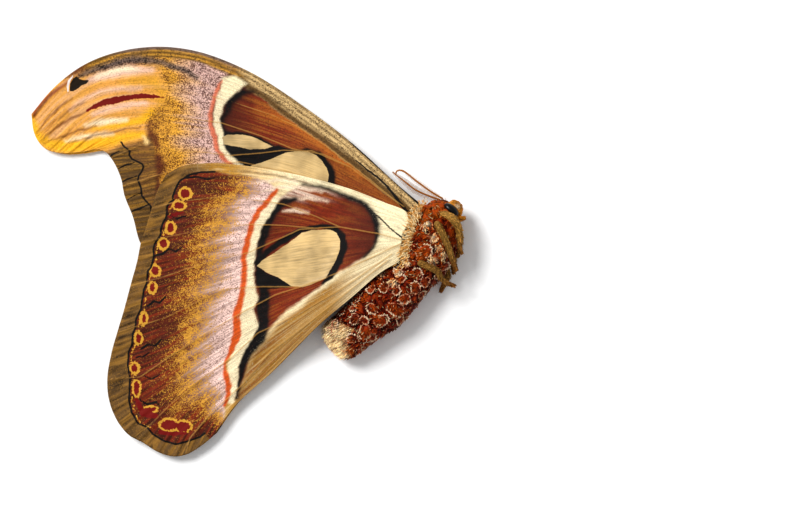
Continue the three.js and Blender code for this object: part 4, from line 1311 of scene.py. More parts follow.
def ball(around, high):
    """A unit ball's points and triangles, its poles on z."""
    bm = bmesh.new()
    bmesh.ops.create_uvsphere(bm, u_segments=around, v_segments=high, radius=1)
    bmesh.ops.triangulate(bm, faces=bm.faces[:])
    points = np.array([v.co[:] for v in bm.verts])
    triangles = np.array([[v.index for v in face.verts] for face in bm.faces])
    bm.free()
    return points, triangles


def unit(vectors):
    return vectors / np.maximum(np.linalg.norm(vectors, axis=-1, keepdims=True), 1e-9)


def in_surface(directions, out):
    """The nearest unit directions that lie in the surface."""
    return unit(directions - out * np.sum(directions * out, axis=1, keepdims=True))


def root_places(angle, along):
    """Where each lock's root has its patch on the OFBake map."""
    return np.stack([angle / (2 * math.pi), along], axis=1)


def round_and_along(shape):
    """A ball's points as shares of the way from pole to pole, and angles round its axis."""
    return np.arccos(np.clip(shape[:, 2], -1, 1)) / math.pi, np.arctan2(shape[:, 1], shape[:, 0])


def rounding_of(along, cap):
    """1 along a form, falling off as a rounded end over the cap's share of it."""
    near_end = np.minimum(np.minimum(along, 1 - along) / cap, 1)
    return np.sqrt(np.maximum(1 - (1 - near_end) ** 2, 0))


def colours_of(settings, *names):
    return [np.array(getattr(settings, name)) for name in names]


class Trunk:
    """A body of elliptic sections. Along runs from its front, angle goes round from the back."""

    STEPS = 300

    def __init__(self, sections, sink, cap):
        self.rows = centripetal(sections, self.STEPS)
        self.rows[:, 3:] -= sink
        level = np.zeros(self.STEPS + 1)
        self.towards_tail = unit(np.column_stack([np.gradient(self.rows[:, :2], axis=0), level]))
        self.cap = cap

    def surface(self, along, angle, lift=0.0):
        """Points, outward directions and directions to the tail."""
        row = between(self.rows, along)
        tail = unit(between(self.towards_tail, along))
        across = np.column_stack([tail[:, 1], -tail[:, 0], np.zeros(len(tail))])
        up = np.array([0, 0, 1.0])
        rounding = rounding_of(along, self.cap)[:, None]
        cos, sin = np.cos(angle)[:, None], np.sin(angle)[:, None]
        depth, width = row[:, 3:4], row[:, 4:5]
        point = row[:, :3] + (across * depth * cos + up * width * sin) * rounding
        ends = np.where(along < 0.5, -1, 1)[:, None] * tail * (1 - rounding)
        out = unit(unit(across * width * cos + up * depth * sin) * np.maximum(rounding, 0.02) + ends)
        point = point + out * np.reshape(lift, (-1, 1))
        point[:, 2] = np.maximum(point[:, 2], TRUNK_FLOOR)
        return point, out, tail

    def over(self, places):
        """The upper surface's along and angle above places of the plan."""
        along, angle = np.meshgrid(np.linspace(0.01, 0.99, 160), np.linspace(0.15, math.pi - 0.15, 60))
        along, angle = along.ravel(), angle.ravel()
        plan = self.surface(along, angle)[0][:, :2]
        found = [int(np.argmin(np.hypot(*(plan - place).T))) for place in places]
        return along[found], angle[found]


class Cushions:
    """Matted cushions spread over a trunk: some measured rings, the rest at even random places."""

    TRIES = 6000

    def __init__(self, trunk, rings, spacing, seed):
        self.spacing = spacing
        chance = np.random.default_rng(seed)
        measured = plan_of(rings)
        along, angle = trunk.over(measured[:, :2])
        centres = list(trunk.surface(along, angle)[0])
        sizes = list(measured[:, 2] / (0.5 * spacing))
        tried_along = chance.random(self.TRIES)
        tried_angle = chance.random(self.TRIES) * 2 * math.pi
        tried = trunk.surface(tried_along, tried_angle)[0]
        for point in tried:
            size = chance.uniform(0.75, 1.2)
            gaps = np.linalg.norm(np.array(centres) - point, axis=1)
            if np.all(gaps > 0.5 * spacing * (np.array(sizes) + size) * 0.9):
                centres.append(point)
                sizes.append(size)
        self.centres, self.sizes = np.array(centres), np.array(sizes)
        ringed = (chance.random(len(centres)) < RING_SHARE) & (self.centres[:, 1] < RING_LIMIT)
        self.rims = ringed.astype(float)
        self.rims[: len(rings)] = 1
        self.headings = chance.normal(0, 0.8, len(centres))

    def nearest(self, points):
        """How far inside its cushion's border each point is, and which cushion that is."""
        first = np.full(len(points), 1e9)
        second = np.full(len(points), 1e9)
        owner = np.zeros(len(points), int)
        for index, (centre, size) in enumerate(zip(self.centres, self.sizes)):
            distance = np.linalg.norm(points - centre, axis=1) / size
            nearer = distance < first
            second = np.where(nearer, first, np.minimum(second, distance))
            owner = np.where(nearer, index, owner)
            first = np.where(nearer, distance, first)
        return (second - first) / 2, owner


def combed(out, tail, heading):
    """Directions in the surface, turned from the way to the tail by the heading."""
    heading = np.reshape(heading, (-1, 1))
    return tail * np.cos(heading) + np.cross(out, tail) * np.sin(heading)


def noise_at(points, size, seed):
    shift = Vector((seed * 3.7, seed * 11.3, seed * 7.9))
    return np.array([noise.noise(Vector(point) / size + shift) for point in points])


def warped(points):
    """Places moved a little, so that the cushions' borders run unevenly."""
    shifts = [noise_at(points, 1.5, seed) for seed in (31, 32, 33)]
    return points + 0.75 * np.stack(shifts, axis=1)


def coat_colour(points, inside, hues):
    """Colour of the coat: a painted highlight on the cushions' crowns over painted shade in the creases
    between them, pale tufts and a pale tail.

    Distances are in mm on the trunk, inside is how far in a cushion a place lies.
    """
    rust, shade, cream, amber = colours_of(hues, "rust", "shade", "cream", "amber")
    colours = np.tile(rust, (len(points), 1))
    speckle, broad = noise_at(points, 1.1, 5), noise_at(points, 4, 6)

    def mix(share, colour):
        nonlocal colours
        colours = colours + np.clip(share, 0, 1)[:, None] * (colour - colours)

    # Painted highlight: the cushions' raised middles are lightened towards amber
    mix(0.8 * smoothstep(0.35, 1.1, inside + 0.6 * speckle + 0.3 * broad), 0.35 * rust + 0.65 * amber)
    mix(0.7 * smoothstep(0.05, 0.45, -speckle - 0.4 * broad), shade)
    mix(0.5 * smoothstep(*THORAX_FADE, points[:, 1]) * smoothstep(-0.3, 0.4, broad), amber)
    plan = points[:, :2]
    upper = smoothstep(*UPPER_FADE, points[:, 2])
    collar = depth_inside(plan, plan_of(COLLAR)) + 0.8 * speckle
    mix(smoothstep(-0.8, 0.8, collar) * 0.8, 0.9 * amber)
    # Painted shade: the creases at the cushions' borders are darkened with the shade colour
    mix(smoothstep(0.42, 0.06, inside) * 0.85, shade)
    for x, y, size in plan_of(CREAM_TUFTS):
        reach = size - np.hypot(plan[:, 0] - x, plan[:, 1] - y) + 0.9 * speckle
        mix(smoothstep(-0.2, 0.7, reach) * upper * 0.9, cream * 0.9)
    tail = depth_inside(plan, plan_of(TAIL_PATCH)) + 1.1 * speckle
    pale = smoothstep(-0.5, 0.6, tail) * smoothstep(3, 5, points[:, 2])
    mix(pale * 0.94, cream * TAIL_WARMTH)
    streaks = grain(np.stack([plan @ TAIL_LINE / STREAK_STRETCH, plan @ TAIL_ACROSS], axis=1), 0.55, 7)
    mix(pale * smoothstep(0.05, 0.4, streaks) * 0.85, 0.45 * amber + 0.1 * cream)
    mix(pale * smoothstep(0.15, 0.5, -streaks) * 0.5, 1.1 * cream)
    # A tan blob on the tail, and painted shade in the hollow beside it
    for (x, y, size), colour in ((TAIL_BLOB, 0.8 * amber), (TAIL_HOLE_SHADOW, 0.6 * shade)):
        middle = plan_of([(x, y)])[0, :2]
        away = np.hypot(*(plan - middle).T)
        mix(smoothstep(size * PIXEL, 0.5 * size * PIXEL, away + 0.3 * speckle) * upper, colour)
    return colours


def tinted_material(name, roughness, grain_size, grain_depth, variation=0.35):
    """A matt surface in the colours painted on it, with a grain of the given size and depth in mm."""
    material, tree, shader = start_material(name, Roughness=roughness, Specular_IOR_Level=0.12)
    where = node(tree, "ShaderNodeTexCoord").outputs["Object"]
    grainy = noise_field(tree, where, grain_size, Detail=4.0)
    tone = maths(tree, "MULTIPLY_ADD", grainy, 2 * variation, 1 - variation)
    base = mixed(tree, 1.0, attribute(tree, "tint").outputs["Color"], grey_tone(tree, tone), "MULTIPLY")
    tree.links.new(base, shader.inputs["Base Color"])
    bump_surface(tree, shader, grainy, 0.6, grain_depth)
    return material


def drawn(chance, ranges, count):
    """Lengths, widths and rises by chance within their ranges."""
    return [chance.uniform(low, high, count) for low, high in ranges]


def locks(name, stand, sizes, tints, places, finish, cells=(3, 4), fade=1.0, taper=0.1, thin=0.3):
    """Flat tapered locks of hair scales in one mesh. Each springs up by its rise and bends to its lie.

    stand holds roots, outward directions and lies, sizes holds lengths, widths and rises, tints the
    colours of root and tip, and finish the material, the replaced nodes and the slot.
    """
    roots, outs, lies = stand
    lengths, widths, rise = sizes
    root_colours, tip_colours = tints
    shape, triangles = ball(*cells)
    share = (shape[:, 2] + 1) / 2
    count, corners = len(roots), len(shape)
    side = unit(np.cross(outs, lies))
    lengths, widths = np.reshape(lengths, (-1, 1, 1)), np.reshape(widths, (-1, 1, 1))
    rise = np.broadcast_to(rise, (count,))[:, None, None]
    t = share[None, :, None]
    outs, lies, side = outs[:, None], lies[:, None], side[:, None]
    spine = lengths * ((t - 0.5 * t**2) * LOCK_SPRING * rise * outs + (t**2 * rise + t * (1 - rise)) * lies)
    slope = LOCK_SPRING * rise * (1 - t) * outs + (2 * t * rise + 1 - rise) * lies
    girth = widths * (0.5 + 0.5 * t) * (1 - t) ** taper
    flat = shape[None, :, 0:1] * side + thin * shape[None, :, 1:2] * unit(np.cross(side, slope))
    points = roots[:, None] + spine + girth * flat
    points[..., 2] = np.maximum(points[..., 2], LOCK_FLOOR)
    faces = (triangles[None] + np.arange(count)[:, None, None] * corners).reshape(-1, 3)
    mesh = mesh_of(name, points.reshape(-1, 3), faces)
    tint = root_colours[:, None] * (1 - t**fade) + tip_colours[:, None] * t**fade
    store_colour(mesh, "tint", tint.reshape(-1, 3))
    within = np.stack([shape[:, 0] * 0.3 + 0.5, share], axis=1) * BAKE_PATCH
    lie = (BAKE_EDGE + BAKE_SPAN * places)[:, None] + within[None]
    mesh.uv_layers.new(name="OFBake").data.foreach_set("uv", lie.reshape(-1, 2)[faces.ravel()].ravel())
    return link_piece(name, mesh, *finish)


def swept(stations, around, high, narrow=(), nip=0.12):
    """A limb along stations that each carry a radius, thinner at its joints."""
    shape, triangles = ball(around, high)
    rows = centripetal(stations, LIMB_ROWS)
    polar, turn = round_and_along(shape)
    slope = unit(np.gradient(rows[:, :3], axis=0))
    first = unit(np.cross(slope, [0, 0, 1.0]))
    second = np.cross(slope, first)
    step = np.clip(polar * LIMB_ROWS, 0, LIMB_ROWS - 0.001)
    low = step.astype(int)
    rest = (step - low)[:, None]
    row = rows[low] * (1 - rest) + rows[low + 1] * rest
    radius = row[:, 3]
    for joint in narrow:
        radius = radius * (1 - nip * np.exp(-(((polar - joint) / JOINT_SPREAD) ** 2)))
    radius = radius * rounding_of(polar, LIMB_CAP)
    out = first[low] * np.cos(turn)[:, None] + second[low] * np.sin(turn)[:, None]
    points = row[:, :3] + out * radius[:, None]
    points[:, 2] = np.maximum(points[:, 2], LOCK_FLOOR)
    return points, triangles, polar, out, slope[low]


def limb_scales(name, stations, hue, end_hue, count, chance, finish):
    """Flat scales that lie down a leg or palp, in one colour at its root and another at its tip."""
    shape, _, along, out, forward = swept(stations, *LEG_CELLS, LEG_JOINTS)
    clear = (along > SCALED_STRETCH[0]) & (along < SCALED_STRETCH[1])
    pick = chance.choice(np.flatnonzero(clear), count, replace=False)
    lie = unit(forward[pick] + chance.normal(0, 0.18, (count, 3)))
    share = smoothstep(*LIMB_END_FADE, along[pick])[:, None]
    colour = (hue * (1 - share) + end_hue * share) * chance.uniform(0.4, 1.4, (count, 1))
    length_range, *other_ranges = LOCK_RANGES["limb"]
    lengths = chance.uniform(*length_range, count) * (1 - 0.3 * share[:, 0])
    places = np.stack([along[pick], chance.random(count)], axis=1)
    sizes = [lengths, *drawn(chance, other_ranges, count)]
    locks(name, (shape[pick], out[pick], lie), sizes, (colour * 0.6, colour * 1.3), places, finish)


def cushion_relief(base, inside, rise):
    """Height of the cushions over their creases, lower on the hairy tail."""
    tail = smoothstep(-1, 1, depth_inside(base[:, :2], plan_of(TAIL_PATCH)))
    rough = 0.3 * noise_at(base, 0.9, 13) + 0.3 * noise_at(base, 2.2, 14)
    return (rise * (0.55 * (1 - np.exp(-inside / 0.3)) + 0.3 * inside) + rough) * (1 - 0.75 * tail)


class MOTH_OT_body(bpy.types.Operator):
    """Model the body's one skin, with head, palps and matted cushions, and its coat of locks"""

    bl_idname = "moth.body"
    bl_label = "Body"

    def execute(self, context):
        settings = context.scene.moth_body
        trunk = Trunk(TRUNK_SECTIONS, CORE_DEPTH, TRUNK_CAP)
        cushions = Cushions(trunk, COAT_RINGS, settings.cushion / MM, 5)
        rise = settings.cushion_rise / MM
        self.skin(trunk, cushions, rise, settings)

        # Hair-like scales: dry and matt, each a little different, with a faint grain along them
        hair = tinted_material("hair_scales", 0.5, 0.4, 0.03)
        chance = np.random.default_rng(11)
        finish = (hair, ["thorax", "abdomen"], "coat")
        self.coat(trunk, cushions, rise, settings, finish, chance)
        self.petals(trunk, cushions, rise, settings, finish, chance)
        self.shoulder_tufts(trunk, rise, settings, finish, chance)
        self.wing_fluff(settings, (hair, ["thorax"], "coat"), chance)
        return {"FINISHED"}

    @staticmethod
    def skin(trunk, cushions, rise, settings):
        """The one skin of thorax, abdomen, head and palps, in the coat's colours, darker: painted shade where
        it shows between the locks and scales.
        """
        head = Trunk(HEAD_SECTIONS, HEAD_DEPTH, HEAD_CAP)
        shape, triangles = ball(*SKIN_CELLS)
        along, angle = round_and_along(shape)
        base, _, _ = trunk.surface(along, angle)
        inside, _ = cushions.nearest(warped(base))
        lift = cushion_relief(base, inside, rise) + 0.08 * noise_at(base, 0.5, 9)
        skin = trunk.surface(along, angle, lift)[0]
        # Painted shade: the skin is darkened where it shows between the locks
        tint = coat_colour(base, inside, settings) * SKIN_SHADE
        head_shape, head_triangles = ball(*HEAD_CELLS)
        head_skin = head.surface(*round_and_along(head_shape))[0]
        gold = np.array(settings.face)
        points, faces = [skin, head_skin], [triangles, head_triangles + len(skin)]
        # Head and palp skin in the face's gold, darkened as painted shade under their scales
        tints = [tint, np.tile(gold * 0.8, (len(head_skin), 1))]
        for stations in PALPS.values():
            palp, palp_triangles, *_ = swept(stations, *PALP_CELLS, PALP_JOINTS)
            faces.append(palp_triangles + sum(len(part) for part in points))
            points.append(palp)
            tints.append(np.tile(gold * 0.6, (len(palp), 1)))
        mesh = mesh_of("body_skin", np.vstack(points), np.vstack(faces))
        store_colour(mesh, "tint", np.vstack(tints))

        # Short hair matted to the skin: matt, with a fine felted grain; it is dark between the locks from the
        # painted shade in its tint
        ground = tinted_material("matted_coat_ground", 0.55, 0.3, 0.1)
        link_piece("body_skin", mesh, ground, ["thorax", "abdomen", "head"], "coat")

    @staticmethod
    def coat(trunk, cushions, rise, settings, finish, chance):
        """Locks combed one way on each cushion, finer and straight to the tail on the pale patch."""
        for name, low, high, count in COAT_PIECES:
            along = chance.uniform(low, high, count)
            angle = chance.uniform(0, 2 * math.pi, count)
            base, out, tail = trunk.surface(along, angle)
            inside, owner = cushions.nearest(warped(base))
            root = trunk.surface(along, angle, cushion_relief(base, inside, rise) - ROOT_SINK)[0]
            outward = unit(base - cushions.centres[owner])
            hairy = smoothstep(-0.5, 1, depth_inside(base[:, :2], plan_of(TAIL_PATCH)))
            rows = hairy[:, None]
            headings = cushions.headings[owner] * (1 - hairy)
            lie = combed(out, tail, headings) + outward * 0.5 * (1 - rows)
            lie = lie + chance.normal(0, 0.22, (count, 3)) * (1 - 0.5 * rows)
            lie = in_surface(lie, out)
            colour = coat_colour(base, inside, settings)
            vary = chance.uniform(0.4, 1.45, (count, 1)) * (1 + 0.15 * rows)
            lengths = settings.lock / MM * chance.uniform(0.6, 1.4, count) * (1 + 0.9 * hairy)
            spring = np.clip(0.26 + chance.normal(0, 0.13, count), 0.04, 1) * (1 - 0.75 * hairy)
            widths = chance.uniform(0.14, 0.3, count) * (1 - 0.5 * hairy)
            flecked = (chance.random((count, 1)) < PALE_SHARE) * smoothstep(4, 7, base[:, 2:3])
            pale = np.array(settings.cream) * ROOT_WARMTH
            tips = colour * 1.35 * vary * (1 - flecked) + pale * flecked
            locks(name, (root, out, lie), (lengths, widths, spring), (colour * 0.4 * vary, tips),
                  root_places(angle, along), finish, (3, 4), 1.6)

    @staticmethod
    def petals(trunk, cushions, rise, settings, finish, chance):
        """Broad scales that stand close together round the matted rings, with pale tips."""
        rust, cream, amber = colours_of(settings, "rust", "cream", "amber")
        around = np.linspace(0, 2 * math.pi, RING_GRID[1], endpoint=False)
        along, angle = np.meshgrid(np.linspace(0.01, 0.99, RING_GRID[0]), around)
        along, angle = along.ravel(), angle.ravel()
        surface, outs, _ = trunk.surface(along, angle)
        picked, centres, strengths = [], [], []
        for centre, size in zip(cushions.centres[cushions.rims > 0], cushions.sizes[cushions.rims > 0]):
            radius = 0.5 * cushions.spacing * size * PETAL_REACH
            near = np.flatnonzero(np.linalg.norm(surface - centre, axis=1) < radius * 1.6)
            if len(near) == 0:
                continue
            middle = near[np.argmin(np.linalg.norm(surface[near] - centre, axis=1))]
            first = unit(np.cross(outs[middle], [0.3, 0.2, 1.0]))
            second = np.cross(outs[middle], first)
            count = int(2 * math.pi * radius / PETAL_SPACING)
            turn = np.linspace(0, 2 * math.pi, count, endpoint=False)
            waves = 0.2 * np.sin(2 * turn + chance.uniform(0, 6))
            waves = waves + 0.1 * np.sin(3 * turn + chance.uniform(0, 6))
            reach = radius * (1 + waves + chance.normal(0, 0.05, count))
            spoke = np.cos(turn)[:, None] * first + np.sin(turn)[:, None] * second
            target = centre + reach[:, None] * spoke
            gaps = np.linalg.norm(surface[near][None] - target[:, None], axis=2)
            picked.append(near[np.argmin(gaps, axis=1)])
            centres.append(np.tile(centre, (count, 1)))
            strengths.append(0.68 + 0.36 * np.sin(turn + chance.uniform(0, 6)))
        picked, centres, strengths = np.concatenate(picked), np.vstack(centres), np.concatenate(strengths)
        out, base = outs[picked], surface[picked]
        count = len(picked)
        lie = 0.6 * in_surface(base - centres, out) + chance.normal(0, 0.12, base.shape)
        pale = (strengths * chance.uniform(0.75, 1.15, count))[:, None]
        tips = 1.15 * cream * pale + amber * np.clip(1 - pale, 0, 1)
        lengths = (0.5 + 0.6 * strengths) * chance.uniform(0.85, 1.2, count)
        widths = chance.uniform(0.28, 0.44, count)
        locks("ring_petals", (base + out * (rise * 0.45), out, lie), (lengths, widths, 0.75),
              (np.tile(rust * 0.8, (count, 1)), tips), root_places(angle[picked], along[picked]), finish,
              (4, 5), 1.4, 0.15, 0.14)

    @staticmethod
    def shoulder_tufts(trunk, rise, settings, finish, chance):
        """Loose pale tufts over the thorax, each combed one way."""
        cream, amber = np.array(settings.cream) * ROOT_WARMTH, np.array(settings.amber)
        tufts = plan_of(CREAM_TUFTS)
        starts_along, starts_angle = trunk.over(tufts[:, :2])
        count = TUFT_LOCKS * len(tufts)
        along = np.repeat(starts_along, TUFT_LOCKS) + chance.normal(0, 0.011, count)
        angle = np.repeat(starts_angle, TUFT_LOCKS) + chance.normal(0, 0.1, count)
        base, out, tail = trunk.surface(along, angle)
        headings = np.repeat(chance.normal(0, 1.2, len(tufts)), TUFT_LOCKS)
        lie = in_surface(combed(out, tail, headings) + chance.normal(0, 0.25, base.shape), out)
        share = (chance.random(count) ** 2)[:, None]
        colour = (cream * (1 - share) + amber * share) * chance.uniform(0.6, 1.25, (count, 1))
        sizes = drawn(chance, LOCK_RANGES["tuft"], count)
        locks("pale_tufts", (base + out * rise * 0.8, out, lie), sizes, (0.4 * colour + 0.4 * amber, colour),
              root_places(angle, along), finish, (4, 5), 0.8)

    @staticmethod
    def wing_fluff(settings, finish, chance):
        """Hair that spreads from the shoulder over the roots of both upper wings."""
        middle = plan_of([SHOULDER_PIXEL])[0, :2]
        for name, edge, (offset, spread), count, pale, longest in WING_ROOTS:
            share = chance.random(count)
            first, last = plan_of(edge)[:, :2]
            x, y = (first + share[:, None] * (last - first) + chance.normal(0, 0.9, (count, 2))).T
            z = middle_height(x, y) + offset + spread * near_body(x, y) + chance.uniform(-0.1, 0.4, count)
            roots = np.column_stack([x, y, z])
            lie = unit(np.column_stack([unit(roots[:, :2] - middle), np.full(count, -0.15)]))
            lie = unit(lie + chance.normal(0, 0.35, (count, 3)) * [1, 1, 0.4])
            outs = np.tile([0, 0, 1.0], (count, 1))
            golden = (chance.random((count, 1)) > pale) * 0.85
            colour = np.array(settings.cream) * ROOT_WARMTH * (1 - golden) + np.array(settings.face) * golden
            colour = colour * chance.uniform(0.8, 1.3, (count, 1))
            places = np.column_stack([0.1 + 0.1 * share, 0.15 + 0.25 * share])
            sizes = drawn(chance, ((0.5, longest), *LOCK_RANGES["root"]), count)
            locks(name, (roots + ROOT_SHIFT, outs, lie), sizes, (0.75 * colour, colour), places, finish,
                  (4, 5), thin=0.2, taper=0.3)


def eye_middle(side):
    rise = EYE_CENTRE[2] - HEAD_HEIGHT
    return np.array([EYE_CENTRE[0], EYE_CENTRE[1], HEAD_HEIGHT + side * rise])


class MOTH_OT_head(bpy.types.Operator):
    """Model the eyes, the face's flat scales and the two antennae"""

    bl_idname = "moth.head"
    bl_label = "Head"

    def execute(self, context):
        settings = context.scene.moth_body
        gold, feeler, cream = colours_of(settings, "face", "feeler", "cream")
        turn = np.array(Matrix.Rotation(math.radians(EYE_TURN), 3, "Z"))
        self.eyes(settings, turn)

        # Short flat scales of the face and palps: matt golden, each with its own tone
        scales = tinted_material("face_scales", 0.55, 0.3, 0.03)
        finish = (scales, ["head"], "coat")
        chance = np.random.default_rng(23)
        self.face(gold, cream, turn, finish, chance)
        for name, stations in PALPS.items():
            limb_scales(f"palp_{name}_scales", stations, gold, 0.8 * gold, PALP_SCALES, chance, finish)

        # Dried antenna cuticle: smooth and brown, with a dull shine and a very fine grain
        horn = tinted_material("antenna_cuticle", 0.5, 0.2, 0.02)
        for name, stations in ANTENNAE.items():
            self.antenna(name, stations, feeler, 0.7 * feeler + 0.3 * cream, horn)
        return {"FINISHED"}

    @staticmethod
    def eyes(settings, turn):
        # Compound eye: nearly black chitin with a dull gloss, broken up by its facets. Real facets
        # are about 0.03 mm wide and are drawn coarser, so that they show.
        glass, tree, shader = start_material(
            "compound_eye", Base_Color=rgba(settings.eye), Roughness=0.3, Specular_IOR_Level=0.3
        )
        where = node(tree, "ShaderNodeTexCoord").outputs["Object"]
        facets = node(tree, "ShaderNodeTexVoronoi", Vector=where, Scale=1 / (FACET_SIZE * MM))
        bump_surface(tree, shader, facets.outputs["Distance"], 0.25, 0.02, True)
        shape, triangles = ball(*EYE_CELLS)
        for name, side in (("right", 1), ("left", -1)):
            points = (shape * np.array(EYE_AXES)) @ turn.T + eye_middle(side)
            mesh = mesh_of(f"eye_{name}_globe", points, triangles)
            store_colour(mesh, "tint", np.tile(np.array(settings.eye), (len(points), 1)))
            link_piece(mesh.name, mesh, glass, [f"eye_{name}"], "eye")

    @staticmethod
    def face(gold, cream, turn, finish, chance):
        """Scales over the whole head except the eyes, paler on the cheek."""
        head = Trunk(HEAD_SECTIONS, HEAD_DEPTH, HEAD_CAP)
        along, angle = chance.uniform(0, 1, FACE_SCALES), chance.uniform(0, 2 * math.pi, FACE_SCALES)
        base, out, tail = head.surface(along, angle)
        clear = np.ones(FACE_SCALES, bool)
        for side in (1, -1):
            off = ((base - eye_middle(side)) @ turn) / (np.array(EYE_AXES) + EYE_CLEARANCE)
            clear &= np.linalg.norm(off, axis=1) > 1
        base, out, tail, along, angle = (values[clear] for values in (base, out, tail, along, angle))
        lie = in_surface(tail + chance.normal(0, 0.35, base.shape), out)
        x, y, size = CHEEK
        pale = smoothstep(0.9, 0.2, np.hypot(base[:, 0] - x, base[:, 1] - y) / size)[:, None]
        colour = gold + (cream - gold) * pale * 0.7
        count = len(base)
        vary = chance.uniform(0.6, 1.3, (count, 1))
        sizes = drawn(chance, LOCK_RANGES["face"], count)
        locks("face_coat", (base, out, lie), sizes, (colour * 0.5 * vary, colour * 1.25 * vary),
              root_places(angle, along), finish)

    @staticmethod
    def antenna(name, stations, colour, tip_colour, material):
        """A stalk, and side branches in pairs that lean to its tip, longest at its middle."""
        slim = [(x, y, z, radius * STALK_SHARE) for x, y, z, radius in stations]
        points, triangles, *_ = swept(slim, *STALK_CELLS)
        mesh = mesh_of(f"antenna_{name}_stalk", points, triangles)
        store_colour(mesh, "tint", np.tile(colour, (len(points), 1)))
        link_piece(mesh.name, mesh, material, [f"antenna_{name}"], "cuticle")
        rows = centripetal(stations, LIMB_ROWS)
        steps = np.linspace(*RAMI_STEPS, RAMI_PAIRS).astype(int)
        forward = unit(np.gradient(rows[:, :3], axis=0))[steps]
        level = unit(np.column_stack([forward[:, 1], -forward[:, 0], np.zeros(RAMI_PAIRS)]))
        tilt = math.radians(RAMI_TILT[name])
        across = level * math.cos(tilt) + np.cross(forward, level) * math.sin(tilt)
        sides = np.repeat([1.0, -1.0], RAMI_PAIRS)[:, None]
        roots, forward = np.tile(rows[steps, :3], (2, 1)), np.tile(forward, (2, 1))
        lies = unit(np.tile(across, (2, 1)) * sides + forward * RAMI_LEAN)
        outs = unit(np.cross(lies, forward))
        share = np.tile(steps / LIMB_ROWS, 2)
        lengths = RAMI_LENGTH * np.sin(math.pi * (0.2 + 0.72 * share))
        tints = [np.tile(tone, (2 * RAMI_PAIRS, 1)) for tone in (colour, tip_colour)]
        places = np.column_stack([share, 0.25 + 0.5 * (sides[:, 0] > 0)])
        sizes = (lengths, np.full(2 * RAMI_PAIRS, RAMI_WIDTH), 0.0)
        locks(f"antenna_{name}_rami", (roots, outs, lies), sizes, tints, places,
              (material, [f"antenna_{name}"], "cuticle"))


class MOTH_OT_legs(bpy.types.Operator):
    """Model the six legs with their joints and short flat scales"""

    bl_idname = "moth.legs"
    bl_label = "Legs"

    def execute(self, context):
        settings = context.scene.moth_body

        # Leg cuticle: dry, uneven and matt, seen only between the scales, where its tint is darkened as
        # painted shade
        cuticle = tinted_material("leg_cuticle", 0.5, 0.5, 0.15, 0.5)

        # Leg scales: short, flat and golden, matt, with tones that change from scale to scale
        scales = tinted_material("leg_scales", 0.55, 0.4, 0.04, 0.5)
        chance = np.random.default_rng(31)
        for name, bare in LEGS.items():
            kind = name.split("_")[0]
            coats = np.interp(range(len(bare)), [0, 2, 4], [1, LEG_COATS[kind], FOOT_COAT])
            stations = [(x, y, z, radius * coat) for (x, y, z, radius), coat in zip(bare, coats)]
            hue = np.array(hex_colour(LEG_HUES[kind]))
            brown = 0.45 * hue + 0.2 * np.array(settings.amber)
            points, triangles, along, *_ = swept(stations, *LEG_CELLS, LEG_JOINTS)
            mesh = mesh_of(f"{name}_limb", points, triangles)
            share = smoothstep(*LIMB_END_FADE, along)[:, None]
            # Painted shade: the cuticle between the scales is darkened to 0.6 of the leg's colours
            store_colour(mesh, "tint", 0.6 * (hue * (1 - share) + brown * share))
            link_piece(mesh.name, mesh, cuticle, [name], "cuticle")
            finish = (scales, [name], "cuticle")
            limb_scales(f"{name}_scales", stations, hue, brown, LEG_SCALES, chance, finish)
        return {"FINISHED"}


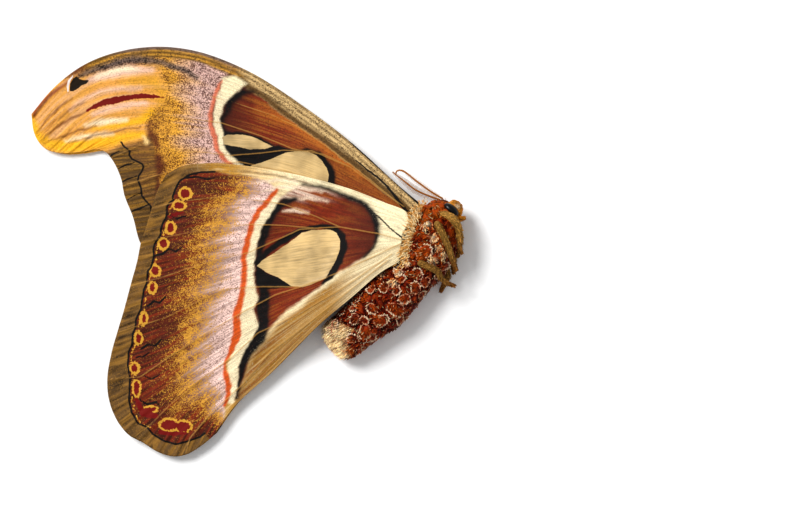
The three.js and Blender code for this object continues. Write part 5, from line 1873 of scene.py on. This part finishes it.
class MOTH_OT_stage(bpy.types.Operator):
    """Set the floor, the soft light and the camera over the moth"""

    bl_idname = "moth.stage"
    bl_label = "Stage"

    def execute(self, context):
        settings = context.scene.moth_stage
        bm = bmesh.new()
        bmesh.ops.create_grid(bm, x_segments=1, y_segments=1, size=FLOOR_REACH)
        mesh = bpy.data.meshes.new("floor")
        bm.to_mesh(mesh)
        bm.free()
        floor = bpy.data.objects.new("floor", mesh)
        context.scene.collection.objects.link(floor)

        # White paper: plain and fully matt, so that it takes only the soft shadow
        material, _, _ = start_material("matt_paper_floor", Base_Color=rgba(settings.floor), Roughness=0.9)
        mesh.materials.append(material)

        world = bpy.data.worlds.new("soft_studio")
        context.scene.world = world
        world.use_nodes = True
        sky = world.node_tree.nodes["Background"].inputs
        sky["Color"].default_value = (1, 1, 1, 1)
        sky["Strength"].default_value = settings.sky
        key = bpy.data.lights.new("key", "SUN")
        key.energy = settings.light
        key.angle = settings.softness
        lamp = bpy.data.objects.new("key", key)
        lamp.rotation_euler = (settings.height, 0, settings.heading)
        context.scene.collection.objects.link(lamp)

        # The camera looks straight down, from where the picture's width fills its view at the body
        width = PICTURE_SIZE[0] * PIXEL * MM
        data = bpy.data.cameras.new("camera")
        data.lens = settings.lens
        data.sensor_width = SENSOR_WIDTH
        camera = bpy.data.objects.new("camera", data)
        x, y, _ = plan_of([(PICTURE_SIZE[0] / 2, PICTURE_SIZE[1] / 2)])[0]
        reach = width * settings.lens / data.sensor_width
        camera.location = ORIGIN + Vector((x * MM, y * MM, reach + CAMERA_RISE))
        context.scene.collection.objects.link(camera)
        context.scene.camera = camera
        context.scene.view_settings.view_transform = "Standard"
        context.scene.view_settings.look = "Medium High Contrast"
        return {"FINISHED"}


class MOTH_PT_panel(bpy.types.Panel):
    """Lists the moth's pieces in the sidebar"""

    bl_label = "Atlas Moth"
    bl_idname = "MOTH_PT_panel"
    bl_space_type = "VIEW_3D"
    bl_region_type = "UI"
    bl_category = "Moth"

    def draw(self, context):
        for operator in OPERATORS:
            self.layout.operator(operator.bl_idname)
        for group in ("moth_wings", "moth_body", "moth_stage"):
            settings = getattr(context.scene, group)
            box = self.layout.box()
            for name in settings.__annotations__:
                box.prop(settings, name)


OPERATORS = (MOTH_OT_stage, MOTH_OT_wings, MOTH_OT_body, MOTH_OT_head, MOTH_OT_legs)
CLASSES = (WingSettings, BodySettings, StageSettings, *OPERATORS, MOTH_PT_panel)


def register():
    for cls in CLASSES:
        bpy.utils.register_class(cls)
    bpy.types.Scene.moth_wings = bpy.props.PointerProperty(type=WingSettings)
    bpy.types.Scene.moth_body = bpy.props.PointerProperty(type=BodySettings)
    bpy.types.Scene.moth_stage = bpy.props.PointerProperty(type=StageSettings)


def unregister():
    del bpy.types.Scene.moth_stage
    del bpy.types.Scene.moth_body
    del bpy.types.Scene.moth_wings
    for cls in reversed(CLASSES):
        bpy.utils.unregister_class(cls)


def main():
    register()
    bpy.ops.moth.stage()
    bpy.ops.moth.wings()
    bpy.ops.moth.body()
    bpy.ops.moth.head()
    bpy.ops.moth.legs()


if __name__ == "__main__":
    main()
